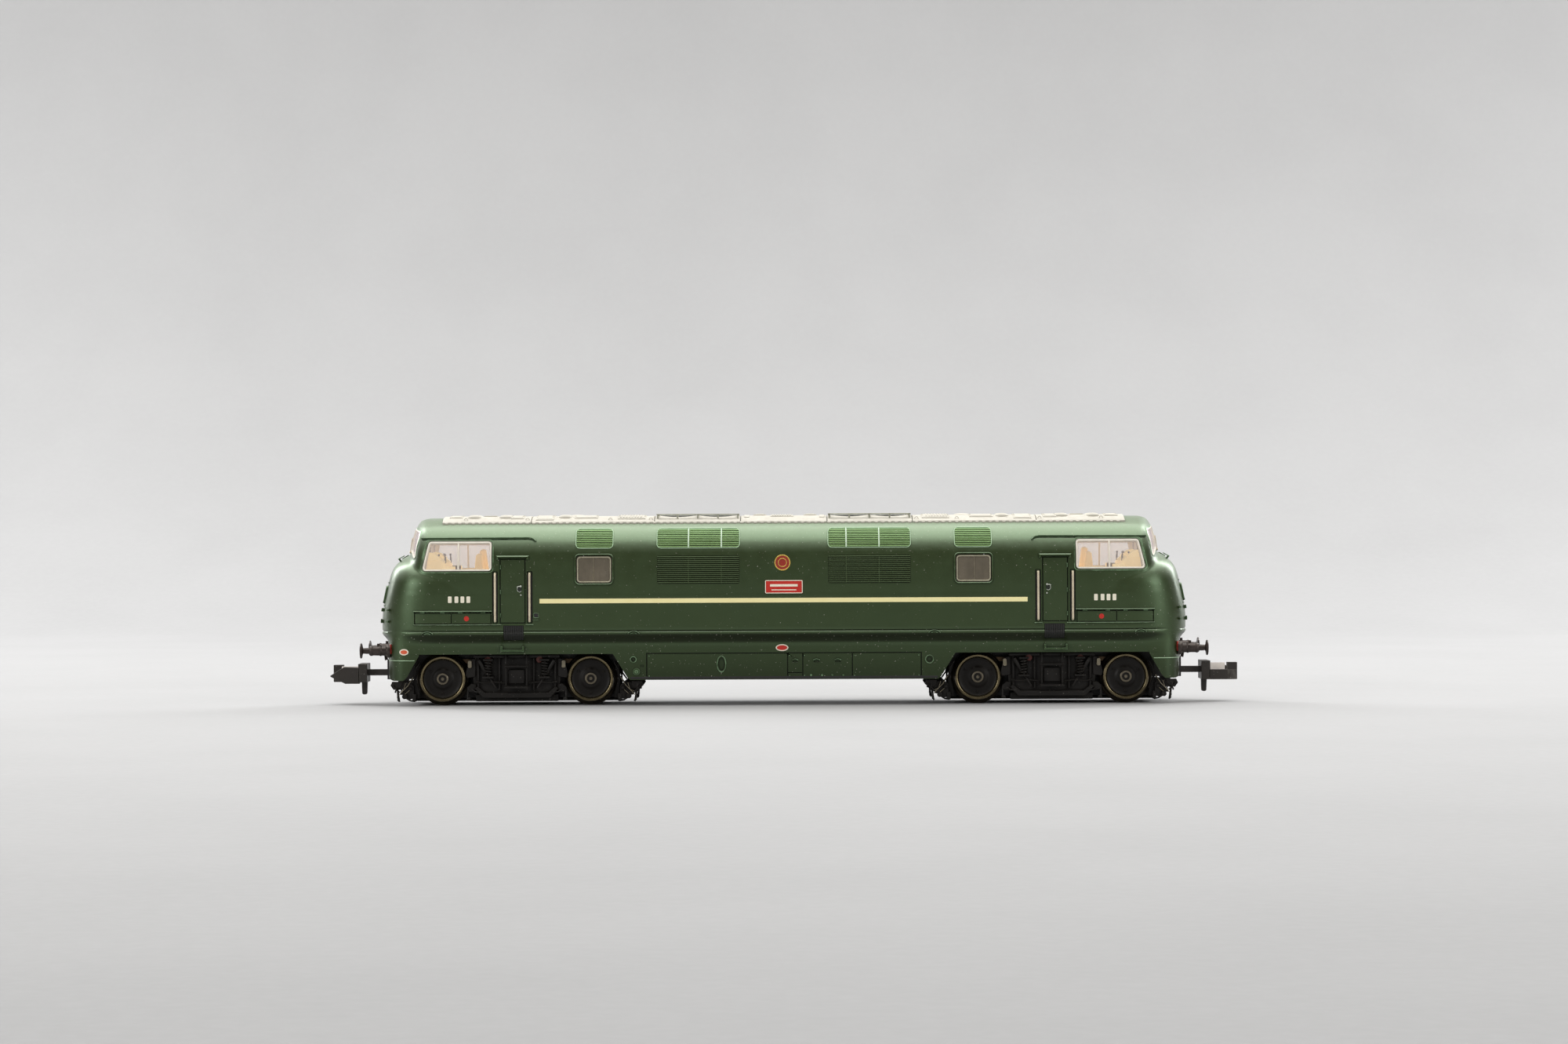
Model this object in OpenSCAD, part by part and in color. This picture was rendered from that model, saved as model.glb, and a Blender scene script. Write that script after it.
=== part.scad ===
// Twin-cab bogie diesel locomotive for 9 mm gauge track.
// X runs along the locomotive, Y across it, Z up. The origin is on the ground
// plane, under the middle of the body. The wheels stand on their flanges.

/* [Body] */
// Half length of the body shell, centre to nose front
body_half = 59; // [58.8:0.1:59.2]
// Half width of the body side
body_hw = 9; // [8.9:0.05:9.1]
// Height of the roof crown of the shell
roof_z = 27.3; // [27.1:0.1:27.6]
// Lower edge of the side sill over the bogies
sill_z = 7.54; // [7.5:0.01:7.7]
// Lower edge of the tank skirt and of the end valances
skirt_z = 3.72; // [3.7:0.01:3.9]
// Shell wall thickness
wall = 0.8; // [0.7:0.05:0.9]
// Thickness of the separate roof strip
strip_t = 0.25; // [0.2:0.05:0.3]

/* [Running gear] */
// Distance from the middle of the body to each bogie pivot
bogie_x = 39; // [38.9:0.05:39.1]
// Half the wheelbase of one bogie
half_wb = 10.8; // [10.78:0.01:10.82]
// Wheel radius at the flange tip
flange_r = 3.9; // [3.85:0.05:3.9]
// Wheel radius at the tread
tread_r = 3.35; // [3.3:0.05:3.35]
// Distance from the track centre to the back of a wheel
wheel_back = 3.7; // [3.65:0.05:3.75]
// Overall width of a wheel
wheel_w = 2.1; // [2:0.05:2.15]
// Axle radius
axle_r = 0.75; // [0.7:0.05:0.75]
// Radius of the bogie's turntable boss
pivot_r = 4.95; // [4.9:0.01:4.96]

/* [Gears] */
// Gear module
gm = 0.4; // [0.4]
// Teeth on a worm wheel
n_worm = 14; // [14]
// Teeth on an idler gear
n_idler = 15; // [15]
// Teeth on an axle gear
n_axle = 13; // [13]
// Backlash at the pitch circle
backlash = 0.14; // [0.12:0.01:0.16]
// Width of every gear
gear_w = 1.6; // [1.5:0.1:1.7]

/* [Motor] */
// Radius of the motor can
motor_r = 4.9; // [4.8:0.05:4.9]
// Half length of the motor can
motor_half = 8.5; // [8:0.1:8.6]
// Flywheel radius
fly_r = 4.3; // [4:0.1:4.4]
// Motor shaft radius
shaft_r = 0.75; // [0.7:0.05:0.75]

/* [Couplers and buffers] */
// Height of the coupler shank above the ground plane
coupler_z = 4.7; // [4.6:0.05:4.8]
// Furthest reach of the coupler from the middle of the body
coupler_x = 66.6; // [66.4:0.1:66.8]
// Height of the buffer centres
buffer_z = 8.05; // [8:0.05:8.1]
// Half the spacing between the two buffers at one end
buffer_y = 5.88; // [5.8:0.02:5.92]
// Reach of the buffer faces from the middle of the body
buffer_x = 61.8; // [61.6:0.1:62]

/* [Hidden] */
$fn = 48;

axle_z = flange_r;
r_worm = gm * n_worm / 2;
r_idler = gm * n_idler / 2;
r_axle = gm * n_axle / 2;
idler_z = axle_z + 0.7;
idler_x = half_wb - sqrt(pow(r_idler + r_axle, 2) - 0.49);
worm_wheel_z = idler_z + sqrt(pow(r_worm + r_idler, 2) - idler_x * idler_x);
worm_pitch = PI * gm;
shaft_z = worm_wheel_z + r_worm + 1.6;
deck_z = 8.9;
deck_top = 10.4;
window_lo = 19.6;
window_hi = 24.0;

function mirrored(h) = concat(h, [for (i = [len(h) - 1:-1:0]) [-h[i][0], h[i][1]]]);
function four_way(q) = concat(
  q, [for (i = [len(q) - 1:-1:0]) [-q[i][0], q[i][1]]],
  [for (p = q) [-p[0], -p[1]]], [for (i = [len(q) - 1:-1:0]) [q[i][0], -q[i][1]]]);

// Cross section of the body at an inset t, as half width and height.
function side_lower(t) = [
  [body_hw - 1 - t, t > 0 ? -1 : sill_z], [body_hw - 1 - t, 9.2 + 0.5 * t],
  [body_hw - 0.5 - t, 9.75 + 0.6 * t], [body_hw - 0.1 - t, 10.3 + 0.6 * t],
  [body_hw - t, 10.9 + 0.5 * t]];
function body_section(t) = mirrored(concat(side_lower(t), [
  [body_hw - t, 18.2], [body_hw - 0.07 - t, 20.2], [body_hw - 0.2 - t, 21.8],
  [body_hw - 0.5 - t, 23 - 0.1 * t], [body_hw - 1.05 - 0.9 * t, 24.1 - 0.4 * t],
  [body_hw - 1.9 - 0.75 * t, 25.1 - 0.7 * t], [body_hw - 3 - 0.5 * t, roof_z - 1.35 - 0.85 * t],
  [4.9 - 0.4 * t, roof_z - 0.85 - 0.95 * t], [3.4 - 0.2 * t, roof_z - 0.35 - t],
  [1.7, roof_z - 0.05 - t], [0.01, roof_z - t]]));
function nose_section(t) = mirrored(concat(side_lower(t), [
  [body_hw - t, 16.5], [body_hw - 0.15 - t, 18.2], [body_hw - 0.55 - t, 19.3],
  [body_hw - 1.4 - 0.8 * t, 20.3 - 0.4 * t], [body_hw - 2.8 - 0.5 * t, 21.1 - 0.8 * t],
  [4.2 - 0.3 * t, 21.65 - t], [2, 21.9 - t], [0.01, 21.95 - t]]));

// Plan outlines, below and above the foot of the windscreen.
function plan_low(t) = four_way([
  [body_half - t, 0.01], [body_half - 0.1 - t, 2.4], [body_half - 0.5 - t, 4.2 - 0.2 * t],
  [body_half - 1.3 - 0.9 * t, 5.9 - 0.5 * t], [body_half - 2.6 - 0.7 * t, 7.3 - 0.7 * t],
  [body_half - 4.4 - 0.5 * t, 8.3 - 0.85 * t], [body_half - 6.6 - 0.3 * t, body_hw - 0.15 - t],
  [body_half - 9, body_hw - t]]);
function plan_high(t) = four_way([
  [55 - t, 0.01], [54.75 - t, 2.5], [54.3 - t, 4.8 - 0.2 * t], [53.8 - t, 6.5 - 0.3 * t],
  [53.3 - 0.8 * t, 7.5 - 0.6 * t], [52.5 - 0.5 * t, 8.2 - 0.85 * t], [51.2 - 0.3 * t, body_hw - 0.4 - t],
  [49.5, body_hw - 0.15 - t], [47, body_hw - t]]);

// Side profiles of the nose and of the cab, as reach and height.
function nose_profile(t) = mirrored([
  [body_half - 1.1 - t, t > 0 ? -1 : sill_z], [body_half - 1.1 - t, 9.2 + 0.4 * t],
  [body_half - 0.5 - t, 9.75 + 0.5 * t], [body_half - t, 10.6 + 0.5 * t],
  [body_half - 0.05 - t, 13.4], [body_half - 0.4 - t, 15.4], [body_half - 0.9 - t, 17.6],
  [body_half - 1.25 - t, 19], [body_half - 1.7 - t, 20.1 - 0.3 * t], [body_half - 2.6 - 0.7 * t, 21.1 - 0.7 * t],
  [body_half - 4 - 0.3 * t, 21.95 - t], [49, 22 - t]]);
function cab_profile(t) = mirrored([
  [56 - t, 12], [54.85 - t, 22], [53.85 - t, 26.1 - 0.3 * t],
  [53.4 - 0.9 * t, 26.8 - 0.7 * t], [52.6 - 0.5 * t, roof_z - 0.1 - t], [51.4, roof_z - t]]);

module along_x(len, pts) { rotate([90, 0, 90]) linear_extrude(len, center = true) polygon(pts); }
module along_y(y0, y1, pts) {
  translate([0, y1, 0]) rotate([90, 0, 0]) linear_extrude(y1 - y0) polygon(pts);
}
module both_sides() { children(); mirror([0, 1, 0]) children(); }
module both_ends() { children(); mirror([1, 0, 0]) children(); }
module at_end(e) { if (e == 2) children(); else rotate([0, 0, 180]) children(); }
module box(x0, x1, y0, y1, z0, z1) { translate([x0, y0, z0]) cube([x1 - x0, y1 - y0, z1 - z0]); }
module rod_y(r, y0, y1) { translate([0, y1, 0]) rotate([90, 0, 0]) cylinder(h = y1 - y0, r = r); }
module rod_x(r, x0, x1) { translate([x0, 0, 0]) rotate([0, 90, 0]) cylinder(h = x1 - x0, r = r); }

module hull_form(t) {
  along_x(2 * (body_half - 9), body_section(t));
  intersection() {
    along_x(111.4, body_section(t));
    translate([0, 0, 12]) linear_extrude(20) polygon(plan_high(t));
    along_y(-12, 12, cab_profile(t));
  }
  intersection() {
    along_x(2 * body_half + 2, nose_section(t));
    translate([0, 0, -2]) linear_extrude(30) polygon(plan_low(t));
    along_y(-12, 12, nose_profile(t));
  }
}

function cab_window(g) = [
  [52.5 - g, window_lo + 0.35 + g], [52.15 - g, window_lo + g], [42.65 + g, window_lo + g],
  [42.3 + g, window_lo + 0.35 + g], [42.3 + g, window_hi - 0.35 - g], [42.65 + g, window_hi - g],
  [51.3 - g, window_hi - g], [51.7 - g, window_hi - 0.35 - g]];
function side_window(g) = [
  [24.9 + g, 18.2 + g], [25.3 + g, 17.8 + g], [29.7 - g, 17.8 + g], [30.1 - g, 18.2 + g],
  [30.1 - g, 21.4 - g], [29.7 - g, 21.8 - g], [25.3 + g, 21.8 - g], [24.9 + g, 21.4 - g]];
function screen(g) = [
  [0.45 + g, 22.45 + g], [4.0, 22.1 + g], [6.9 - g, 21.3 + g], [6.35 - g, 24.4], [5.6 - g, 25.5 - g], [0.45 + g, 25.95 - g]];

module window_cuts(g) {
  both_ends() both_sides() {
    along_y(5, 10, cab_window(g));
    along_y(7, 10, side_window(g));
    translate([55, 0, 0]) along_x(8, screen(g));
  }
}

module body_shell() {
  color("darkgreen") {
    difference() {
      hull_form(0);
      hull_form(wall);
      window_cuts(0);
      both_ends() both_sides() box(57, 60, 0.5, 3.3, 15.1, 17.2);
      both_ends() both_sides() translate([0, buffer_y, buffer_z]) rod_x(0.7, 55, 59);
    }
    both_sides() along_y(body_hw - 1 - wall, body_hw - 1, [
      [-25.1, sill_z + 0.3], [-22.5, skirt_z], [22.5, skirt_z], [25.1, sill_z + 0.3]]);
    both_ends() both_sides() difference() {
      intersection() {
        along_y(4.6, 7.6, [[57.5, sill_z + 0.3], [57.5, skirt_z + 0.9], [56.8, skirt_z],
          [54.8, skirt_z], [52.9, sill_z + 0.3]]);
        linear_extrude(30) polygon(plan_low(0.8));
      }
      translate([0, buffer_y, buffer_z]) rod_x(0.7, 55, 59);
    }
    // gutters over the cab windows, door rain strips and steps
    both_ends() both_sides() {
      box(35.9, 51.9, 7.4, 8.35, 24.3, 24.5);
      box(37.2, 41.3, 8.5, 9.14, 21.45, 21.7);
      box(37.7, 40.9, 7.9, 8.7, 8.35, 8.65);
    }
  }
}

module roof_strip() {
  color("gainsboro") {
    difference() {
      union() {
        intersection() {
          translate([0, 0, strip_t]) along_x(99.6, body_section(0));
          box(-50, 50, -4.9, 4.9, 25, 29);
        }
        for (x = [-45.3, -40.7, -32, 32, 40.7, 45.3], y = [-2.4, 2.4])
          translate([x, y, 26.95]) cylinder(h = 0.62, r = 0.62, $fn = 24);
        for (x = [-3.5, 3.5]) translate([x, 0, 27.4]) cylinder(h = 0.35, r = 0.75, $fn = 24);
      }
      hull_form(0);
    }
  }
}

module roof_grille_frames() {
  color("silver") both_ends() difference() {
    box(6.5, 18.6, -3.9, 3.9, 27.57, 27.87);
    box(6.9, 12.35, -3.5, 3.5, 27, 28);
    box(12.75, 18.2, -3.5, 3.5, 27, 28);
  }
}

module cab_glazing(e) {
  color([0.85, 0.9, 0.92, 0.5]) at_end(e) {
    intersection() {
      difference() { hull_form(0.06); hull_form(wall + 0.1); }
      union() {
        both_sides() along_y(5, 10, cab_window(0.03));
        both_sides() translate([55, 0, 0]) along_x(8, screen(0.03));
      }
    }
    intersection() {
      difference() { hull_form(wall + 0.03); hull_form(wall + 0.38); }
      union() {
        box(41.9, 52.9, -10, 10, 19.2, 24.4);
        box(50.2, 56, -10, 10, 21.2, 26);
      }
    }
  }
}

module side_window_glazing() {
  color([0.55, 0.55, 0.55, 0.6]) both_ends() both_sides()
    along_y(body_hw - wall, body_hw - 0.22, side_window(0.03));
}

module cab_interior(e) {
  color("wheat") at_end(e) {
    box(41.0, 53.2, -6.4, 6.4, 16.3, 17.1);
    box(41.0, 41.6, -6.4, 6.4, 17, 23.4);
    intersection() {
      box(49.6, 53.6, -6.6, 6.6, 17, 21.3);
      linear_extrude(30) polygon(plan_high(wall + 0.6));
    }
    for (y = [-3.6, 3.6]) {
      box(44.3, 47.6, y - 1.5, y + 1.5, 17, 19.4);
      box(44.3, 45.2, y - 1.5, y + 1.5, 19.3, y < 0 ? 22.4 : 22.8);
      box(47.9, 49.7, y - 1.2, y + 1.2, 17, 20.7);
    }
  }
}

module door_handrails() {
  color("rosybrown") both_ends() both_sides() for (x = [36.85, 41.85]) {
    translate([x, body_hw + 0.2, 12.3]) cylinder(h = 7, r = 0.19, $fn = 16);
    for (z = [12.6, 19.0]) translate([x, 0, z]) rod_y(0.14, body_hw + 0.005, body_hw + 0.2, $fn = 16);
  }
}

module headcode_glazing() {
  color("white") both_ends() both_sides() box(57.9, 58.6, 0.55, 3.25, 15.15, 17.15);
}

module nameplates() {
  color("firebrick") both_sides() box(-2.75, 2.75, body_hw + 0.005, body_hw + 0.12, 16.2, 18.2);
}

module buffer_beam(e) {
  color("red") at_end(e) difference() {
    intersection() {
      box(55, 60, -6.9, 6.9, sill_z + 0.1, 8.95);
      linear_extrude(12) polygon(plan_low(-0.25));
      along_y(-8, 8, nose_profile(-0.25));
    }
    intersection() {
      linear_extrude(12) polygon(plan_low(-0.01));
      along_y(-9, 9, nose_profile(-0.01));
    }
    both_sides() translate([0, buffer_y, buffer_z]) rod_x(0.7, 55, 59);
    box(57, 60, -0.5, 0.5, 7.9, 8.7);
  }
}

module buffers(e) {
  color("dimgray") at_end(e) both_sides() translate([0, buffer_y, buffer_z]) {
    rod_x(0.66, 55.8, 60.4);
    rod_x(1.0, 58.2, 58.45);
    rod_x(0.42, 60.3, 61.5);
    rod_x(1.12, buffer_x - 0.35, buffer_x);
    rod_x(0.8, buffer_x - 0.5, buffer_x - 0.3);
  }
}

module chassis_block() {
  color("gray") difference() {
    union() {
      box(-51, 51, -6.4, 6.4, deck_z, deck_top);
      box(-21.4, 21.4, -6.9, 6.9, skirt_z, deck_z + 0.1);
      both_sides() box(-21.4, 21.4, 5.1, 6.7, deck_top - 0.1, 14);
      both_ends() for (x = [33.6, 44.4]) box(x - 1.2, x + 1.2, -3, 3, deck_top - 0.1, shaft_z + 2.6);
      both_ends() both_sides() box(22.4, 24.8, 4.6, 6.4, deck_top - 0.1, 19.2);
      both_ends() both_sides() box(25.5, 28.5, 6.3, body_hw - 1 - wall - 0.05, deck_z + 0.1, 10.1);
    }
    translate([0, 0, shaft_z]) rod_x(motor_r + 0.12, -motor_half - 0.4, motor_half + 0.4);
    box(-motor_half - 0.4, motor_half + 0.4, -motor_r - 0.12, motor_r + 0.12, shaft_z, 20);
    both_ends() {
      translate([0, 0, shaft_z]) rod_x(fly_r + 0.4, motor_half + 0.3, 18.2);
      box(motor_half + 0.3, 18.2, -fly_r - 0.4, fly_r + 0.4, shaft_z, 20);
      translate([0, 0, shaft_z]) rod_x(1.2, 18, 34.9);
      translate([0, 0, shaft_z]) rod_x(1.4, 18, 32);
      translate([0, 0, shaft_z]) rod_x(1.2, 43, 45.8);
      translate([bogie_x, 0, 8]) cylinder(h = 3, r = pivot_r + 0.05);
      both_sides() translate([23.6, 5.5, 16]) cylinder(h = 4, r = 0.5, $fn = 24);
    }
  }
}

module motor_can() {
  color("silver") difference() {
    translate([0, 0, shaft_z]) rod_x(motor_r, -motor_half, motor_half);
    translate([0, 0, shaft_z]) rod_x(motor_r - 0.5, -motor_half + 0.6, motor_half + 1);
    translate([0, 0, shaft_z]) rod_x(1.1, -motor_half - 1, 0);
  }
}

module motor_brush_cap() {
  color("white") {
    difference() {
      translate([0, 0, shaft_z]) rod_x(motor_r - 0.52, motor_half - 1.4, motor_half);
      translate([0, 0, shaft_z]) rod_x(1.1, 0, motor_half + 1);
    }
    both_sides() translate([motor_half - 2.2, 2.4, shaft_z]) rod_y(0.45, -1.05, 0.7, $fn = 16);
    both_sides() box(motor_half - 2.6, motor_half - 1.3, 2.9, 3.3, shaft_z - 0.4, shaft_z + 0.4);
  }
}

module shaft_bearings() {
  color("goldenrod") both_ends() for (x = [33.6, 44.4]) difference() {
    translate([x, 0, shaft_z]) rod_x(1.18, -1.15, 1.15);
    translate([x, 0, shaft_z]) rod_x(shaft_r + 0.05, -2, 2);
  }
}

module circuit_board() {
  color("forestgreen") difference() {
    box(-30, 30, -6.4, 6.4, 19.25, 19.95);
    both_ends() both_sides() translate([23.6, 5.5, 18]) cylinder(h = 4, r = 0.6, $fn = 24);
  }
  color("black") {
    for (x = [-20, -14, 14, 20]) box(x - 1.2, x + 1.2, -2, 2, 19.9, 20.7);
    box(-6, 6, -5, -3.2, 19.9, 20.9);
  }
}

module decoder_plug() {
  color("royalblue") box(-6, 6, -2.6, 3, 19.98, 21.6);
}

module led_boards() {
  color("forestgreen") both_ends() {
    box(51.05, 51.65, -4, 4, deck_z, 15.9);
    for (y = [-1.9, 1.9]) translate([0, y, 14.6]) rod_x(0.75, 51.6, 53.4, $fn = 24);
  }
}

module chassis_screws() {
  color("lightgray") both_ends() both_sides() translate([23.6, 5.5, 0]) {
    translate([0, 0, 16.4]) cylinder(h = 3.7, r = 0.45, $fn = 24);
    difference() {
      translate([0, 0, 19.98]) cylinder(h = 0.5, r = 0.85, $fn = 24);
      box(-1, 1, -0.12, 0.12, 20.25, 21);
    }
  }
}

module armature() {
  color("saddlebrown") translate([0, 0, shaft_z]) {
    difference() {
      union() {
        for (a = [0:72:359]) rotate([a, 0, 0]) box(-5.2, 4.2, -0.9, 0.9, 0.5, 3.2);
        rod_x(2.2, -5.4, 4.4);
        rod_x(1.3, 4.3, 7);
        for (a = [0:72:359]) rotate([a, 0, 0]) box(-5.2, 4.2, -1.7, 1.7, 2.9, 3.4);
      }
      rod_x(shaft_r + 0.01, -10, 10);
    }
  }
}

module motor_shaft() {
  color("lightsteelblue") translate([0, 0, shaft_z]) rod_x(shaft_r, -46, 46);
}

module flywheel(e) {
  color("goldenrod") at_end(e) translate([0, 0, shaft_z]) difference() {
    union() { rod_x(fly_r, 10.4, 16.6); rod_x(1.3, 9.6, 17.6); }
    rod_x(shaft_r + 0.01, 9, 19);
  }
}

module worm(e) {
  color("gold") translate([e == 2 ? bogie_x : -bogie_x, 0, shaft_z]) difference() {
    rotate([0, 90, 0]) linear_extrude(4 * worm_pitch, center = true, twist = -1440, slices = 64, segments = 16, convexity = 6)
      translate([-0.4, 0]) circle(r = 1.45, $fn = 16);
    rod_x(shaft_r + 0.01, -4, 4);
  }
}

// Straight-flanked teeth, four points each, in the X-Z plane.
function gear_pts(n, add, phi) = [
  for (k = [0:n - 1], q = [0:3])
    let (rp = gm * n / 2, tp = PI * gm / 4 - backlash / 2, up = (q == 1 || q == 2),
         r = up ? rp + add : rp - 0.46, half = up ? tp - 0.364 * add : tp + 0.13,
         a = phi + k * 360 / n + (q < 2 ? -1 : 1) * half / r * 180 / PI)
      [r * cos(a), r * sin(a)]];
// Phase that puts gear b's gap opposite gear a's tooth, along direction beta.
function mesh_phase(na, pa, beta, nb) = beta + 180 - (180 - (beta - pa) * na) / nb;

module gear(n, add, phi, bore, x, z) {
  translate([x, 0, z]) difference() {
    along_y(-gear_w / 2, gear_w / 2, gear_pts(n, add, phi));
    rod_y(bore, -2, 2, $fn = 32);
  }
}
phi_worm = 90;
beta_r = atan2(idler_z - worm_wheel_z, idler_x);
beta_l = 180 - beta_r;
phi_ir = mesh_phase(n_worm, phi_worm, beta_r, n_idler);
phi_il = mesh_phase(n_worm, phi_worm, beta_l, n_idler);
beta_ar = atan2(axle_z - idler_z, half_wb - idler_x);
beta_al = 180 - beta_ar;
phi_ar = mesh_phase(n_idler, phi_ir, beta_ar, n_axle);
phi_al = mesh_phase(n_idler, phi_il, beta_al, n_axle);

module worm_wheel(b) { color("ivory") gear(n_worm, 0.2, phi_worm, 0.53, b, worm_wheel_z); }
module idler(b, right) {
  color("ivory") gear(n_idler, 0.36, right ? phi_ir : phi_il, 0.53, b + (right ? idler_x : -idler_x), idler_z);
}
module axle_gear(b, right) {
  color("ivory") gear(n_axle, 0.36, right ? phi_ar : phi_al, axle_r + 0.01, b + (right ? half_wb : -half_wb), axle_z);
}

module axle(x) {
  color("lightsteelblue") translate([x, 0, axle_z]) rod_y(axle_r, -wheel_back - 1.85, wheel_back + 1.85);
}
module wheels(x) {
  translate([x, 0, axle_z])
    color("dimgray") both_sides() translate([0, wheel_back, 0]) rotate([-90, 0, 0]) rotate_extrude($fn = 72)
      polygon([[axle_r + 0.01, 0], [flange_r - 0.2, 0], [flange_r, 0.18], [flange_r, 0.3], [tread_r + 0.12, 0.55],
        [tread_r + 0.03, 0.7], [tread_r - 0.05, wheel_w - 0.08], [tread_r - 0.12, wheel_w], [tread_r - 0.48, wheel_w],
        [tread_r - 0.62, wheel_w - 0.4], [1.4, wheel_w - 0.5], [1.25, wheel_w - 0.2], [axle_r + 0.01, wheel_w - 0.2]]);
}

module gearbox(e) {
  color("dimgray") at_end(e) translate([bogie_x, 0, 0]) {
    difference() {
      union() {
        box(-14.7, 14.7, -2.2, 2.2, 1.0, 8.45);
        translate([0, 0, 8.1]) cylinder(h = 1.45, r = pivot_r);
        both_sides() box(-1.4, 1.4, 3.0, 4.55, 9.4, 10.9);
        both_sides() box(-1.4, 1.4, 3.0, 5.5, 10.5, 10.9);
      }
      box(-14.1, 14.1, -1, 1, 0, 8.1);
      box(-3.3, 3.3, -1, 1, 5, 12);
      both_ends() translate([half_wb, 0, axle_z]) rod_y(axle_r + 0.05, -4, 4);
      both_ends() translate([idler_x, 0, idler_z]) rod_y(0.51, -4, 4, $fn = 32);
      translate([0, 0, worm_wheel_z]) rod_y(0.51, -4, 4, $fn = 32);
    }
    // coupler pocket
    difference() {
      box(14.6, 19.3, -1.3, 1.3, 3.7, 6.6);
      box(15.6, 20, -0.68, 0.68, 3, 6.1);
      translate([17.2, 0, coupler_z]) rod_y(0.36, -2, 2, $fn = 24);
    }
  }
}

module bogie_frame(e) {
  color([0.13, 0.13, 0.13]) at_end(e) translate([bogie_x, 0, 0]) {
    // keeper plate under the gears, with its cross bars
    box(-15.2, 15.2, -2.2, 2.2, 0.55, 0.88);
    both_ends() box(14.8, 15.2, -5.5, 5.5, 0.55, 1.75);
    both_sides() {
      box(-6.1, 6.1, 2.1, 4.8, 0.55, 0.97);
      box(-6.1, 6.1, 2.24, 4.8, 0.9, 1.6);
      // side frame between the wheels
      along_y(4.7, 5.9, [[-4.6, 1.1], [4.6, 1.1], [6.4, 1.9], [6.6, 7.3], [-6.6, 7.3], [-6.4, 1.9]]);
      along_y(5.85, 6.3, [[-3.8, 1.6], [3.8, 1.6], [5.2, 2.3], [5.2, 4.4], [1.3, 4.4], [1.3, 6.9],
        [-1.3, 6.9], [-1.3, 4.4], [-5.2, 4.4], [-5.2, 2.3]]);
      for (x = [-4.1, 4.1]) translate([x, 6.0, 4.3]) cylinder(h = 2.2, r = 0.55, $fn = 24);
      box(-1.6, 1.6, 5.8, 6.75, 2.4, 3.6);
      // brake gear and guard irons at both ends
      both_ends() {
        along_y(4.4, 5.4, [[15.1, 0.9], [16, 0.7], [17.2, 1.0], [17.6, 2.6], [16.4, 3.4], [15.0, 2.4]]);
        box(16.6, 17.1, 4.6, 5.2, 0.5, 1.2);
      }
    }
  }
}

module pickup_strips(e) {
  color("peru") at_end(e) translate([bogie_x, 0, 0]) both_sides() {
    box(-12.2, 12.2, wheel_back - 0.2, wheel_back - 0.06, 6.1, 6.7);
    box(-0.5, 0.5, 2.24, wheel_back - 0.1, 6.1, 6.7);
    box(-0.5, 0.5, 2.24, 2.5, 6.1, 8.0);
  }
}

module gear_pins(e) {
  color("lightsteelblue") at_end(e) translate([bogie_x, 0, 0]) {
    translate([0, 0, worm_wheel_z]) rod_y(0.5, -2.15, 2.15, $fn = 32);
    both_ends() translate([idler_x, 0, idler_z]) rod_y(0.5, -2.15, 2.15, $fn = 32);
    translate([17.2, 0, coupler_z]) rod_y(0.35, -1.3, 1.3, $fn = 24);
  }
}

// Hook coupler: a shank, a cross plate with a drop tail, and a hooked head.
module coupler(e) {
  cx = coupler_x;
  color([0.25, 0.23, 0.22]) at_end(e) {
    difference() {
      box(bogie_x + 16.3, cx - 5, -0.6, 0.6, coupler_z - 0.45, coupler_z + 0.45);
      translate([bogie_x + 17.2, 0, coupler_z]) rod_y(0.4, -2, 2, $fn = 24);
    }
    box(cx - 5.4, cx - 4.1, -2.3, 2.3, coupler_z - 1.4, coupler_z + 1.3);
    box(cx - 5.2, cx - 4.4, -0.4, 0.4, coupler_z - 3.3, coupler_z - 1.2);
    box(cx - 4.2, cx - 0.2, -2.3, -1.1, coupler_z - 1.45, coupler_z);
    box(cx - 1.6, cx - 0.2, -2.3, -0.5, coupler_z - 1.45, coupler_z + 1.05);
    along_y(1.1, 2.3, [[cx - 4.2, coupler_z - 1.6], [cx - 1.2, coupler_z - 1.6], [cx, coupler_z - 0.5],
      [cx - 1.2, coupler_z + 0.85], [cx - 4.2, coupler_z + 0.85]]);
    box(cx - 3.4, cx - 1.6, -1.2, 1.2, coupler_z - 1.3, coupler_z - 0.5);
  }
}

// Round-wire spring as one swept tube.
module coil(r, wire, turns, height) {
  steps = 14 * turns;
  sides = 6;
  ring = [for (i = [0:steps]) [for (j = [0:sides - 1])
    let (a = i * 360 / 14, b = j * 360 / sides, q = r + wire * cos(b))
      [q * cos(a), q * sin(a), wire + (height - 2 * wire) * i / steps + wire * sin(b)]]];
  pts = [for (r2 = ring, p = r2) p];
  faces = concat(
    [for (i = [0:steps - 1], j = [0:sides - 1])
      [i * sides + j, (i + 1) * sides + j, (i + 1) * sides + (j + 1) % sides, i * sides + (j + 1) % sides]],
    [[for (j = [0:sides - 1]) j]], [[for (j = [sides - 1:-1:0]) steps * sides + j]]);
  polyhedron(pts, faces);
}
module coupler_spring(e) {
  color("silver") at_end(e) translate([bogie_x + 18.5, 0, coupler_z + 0.46]) coil(0.36, 0.09, 3, 0.93);
}

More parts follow.
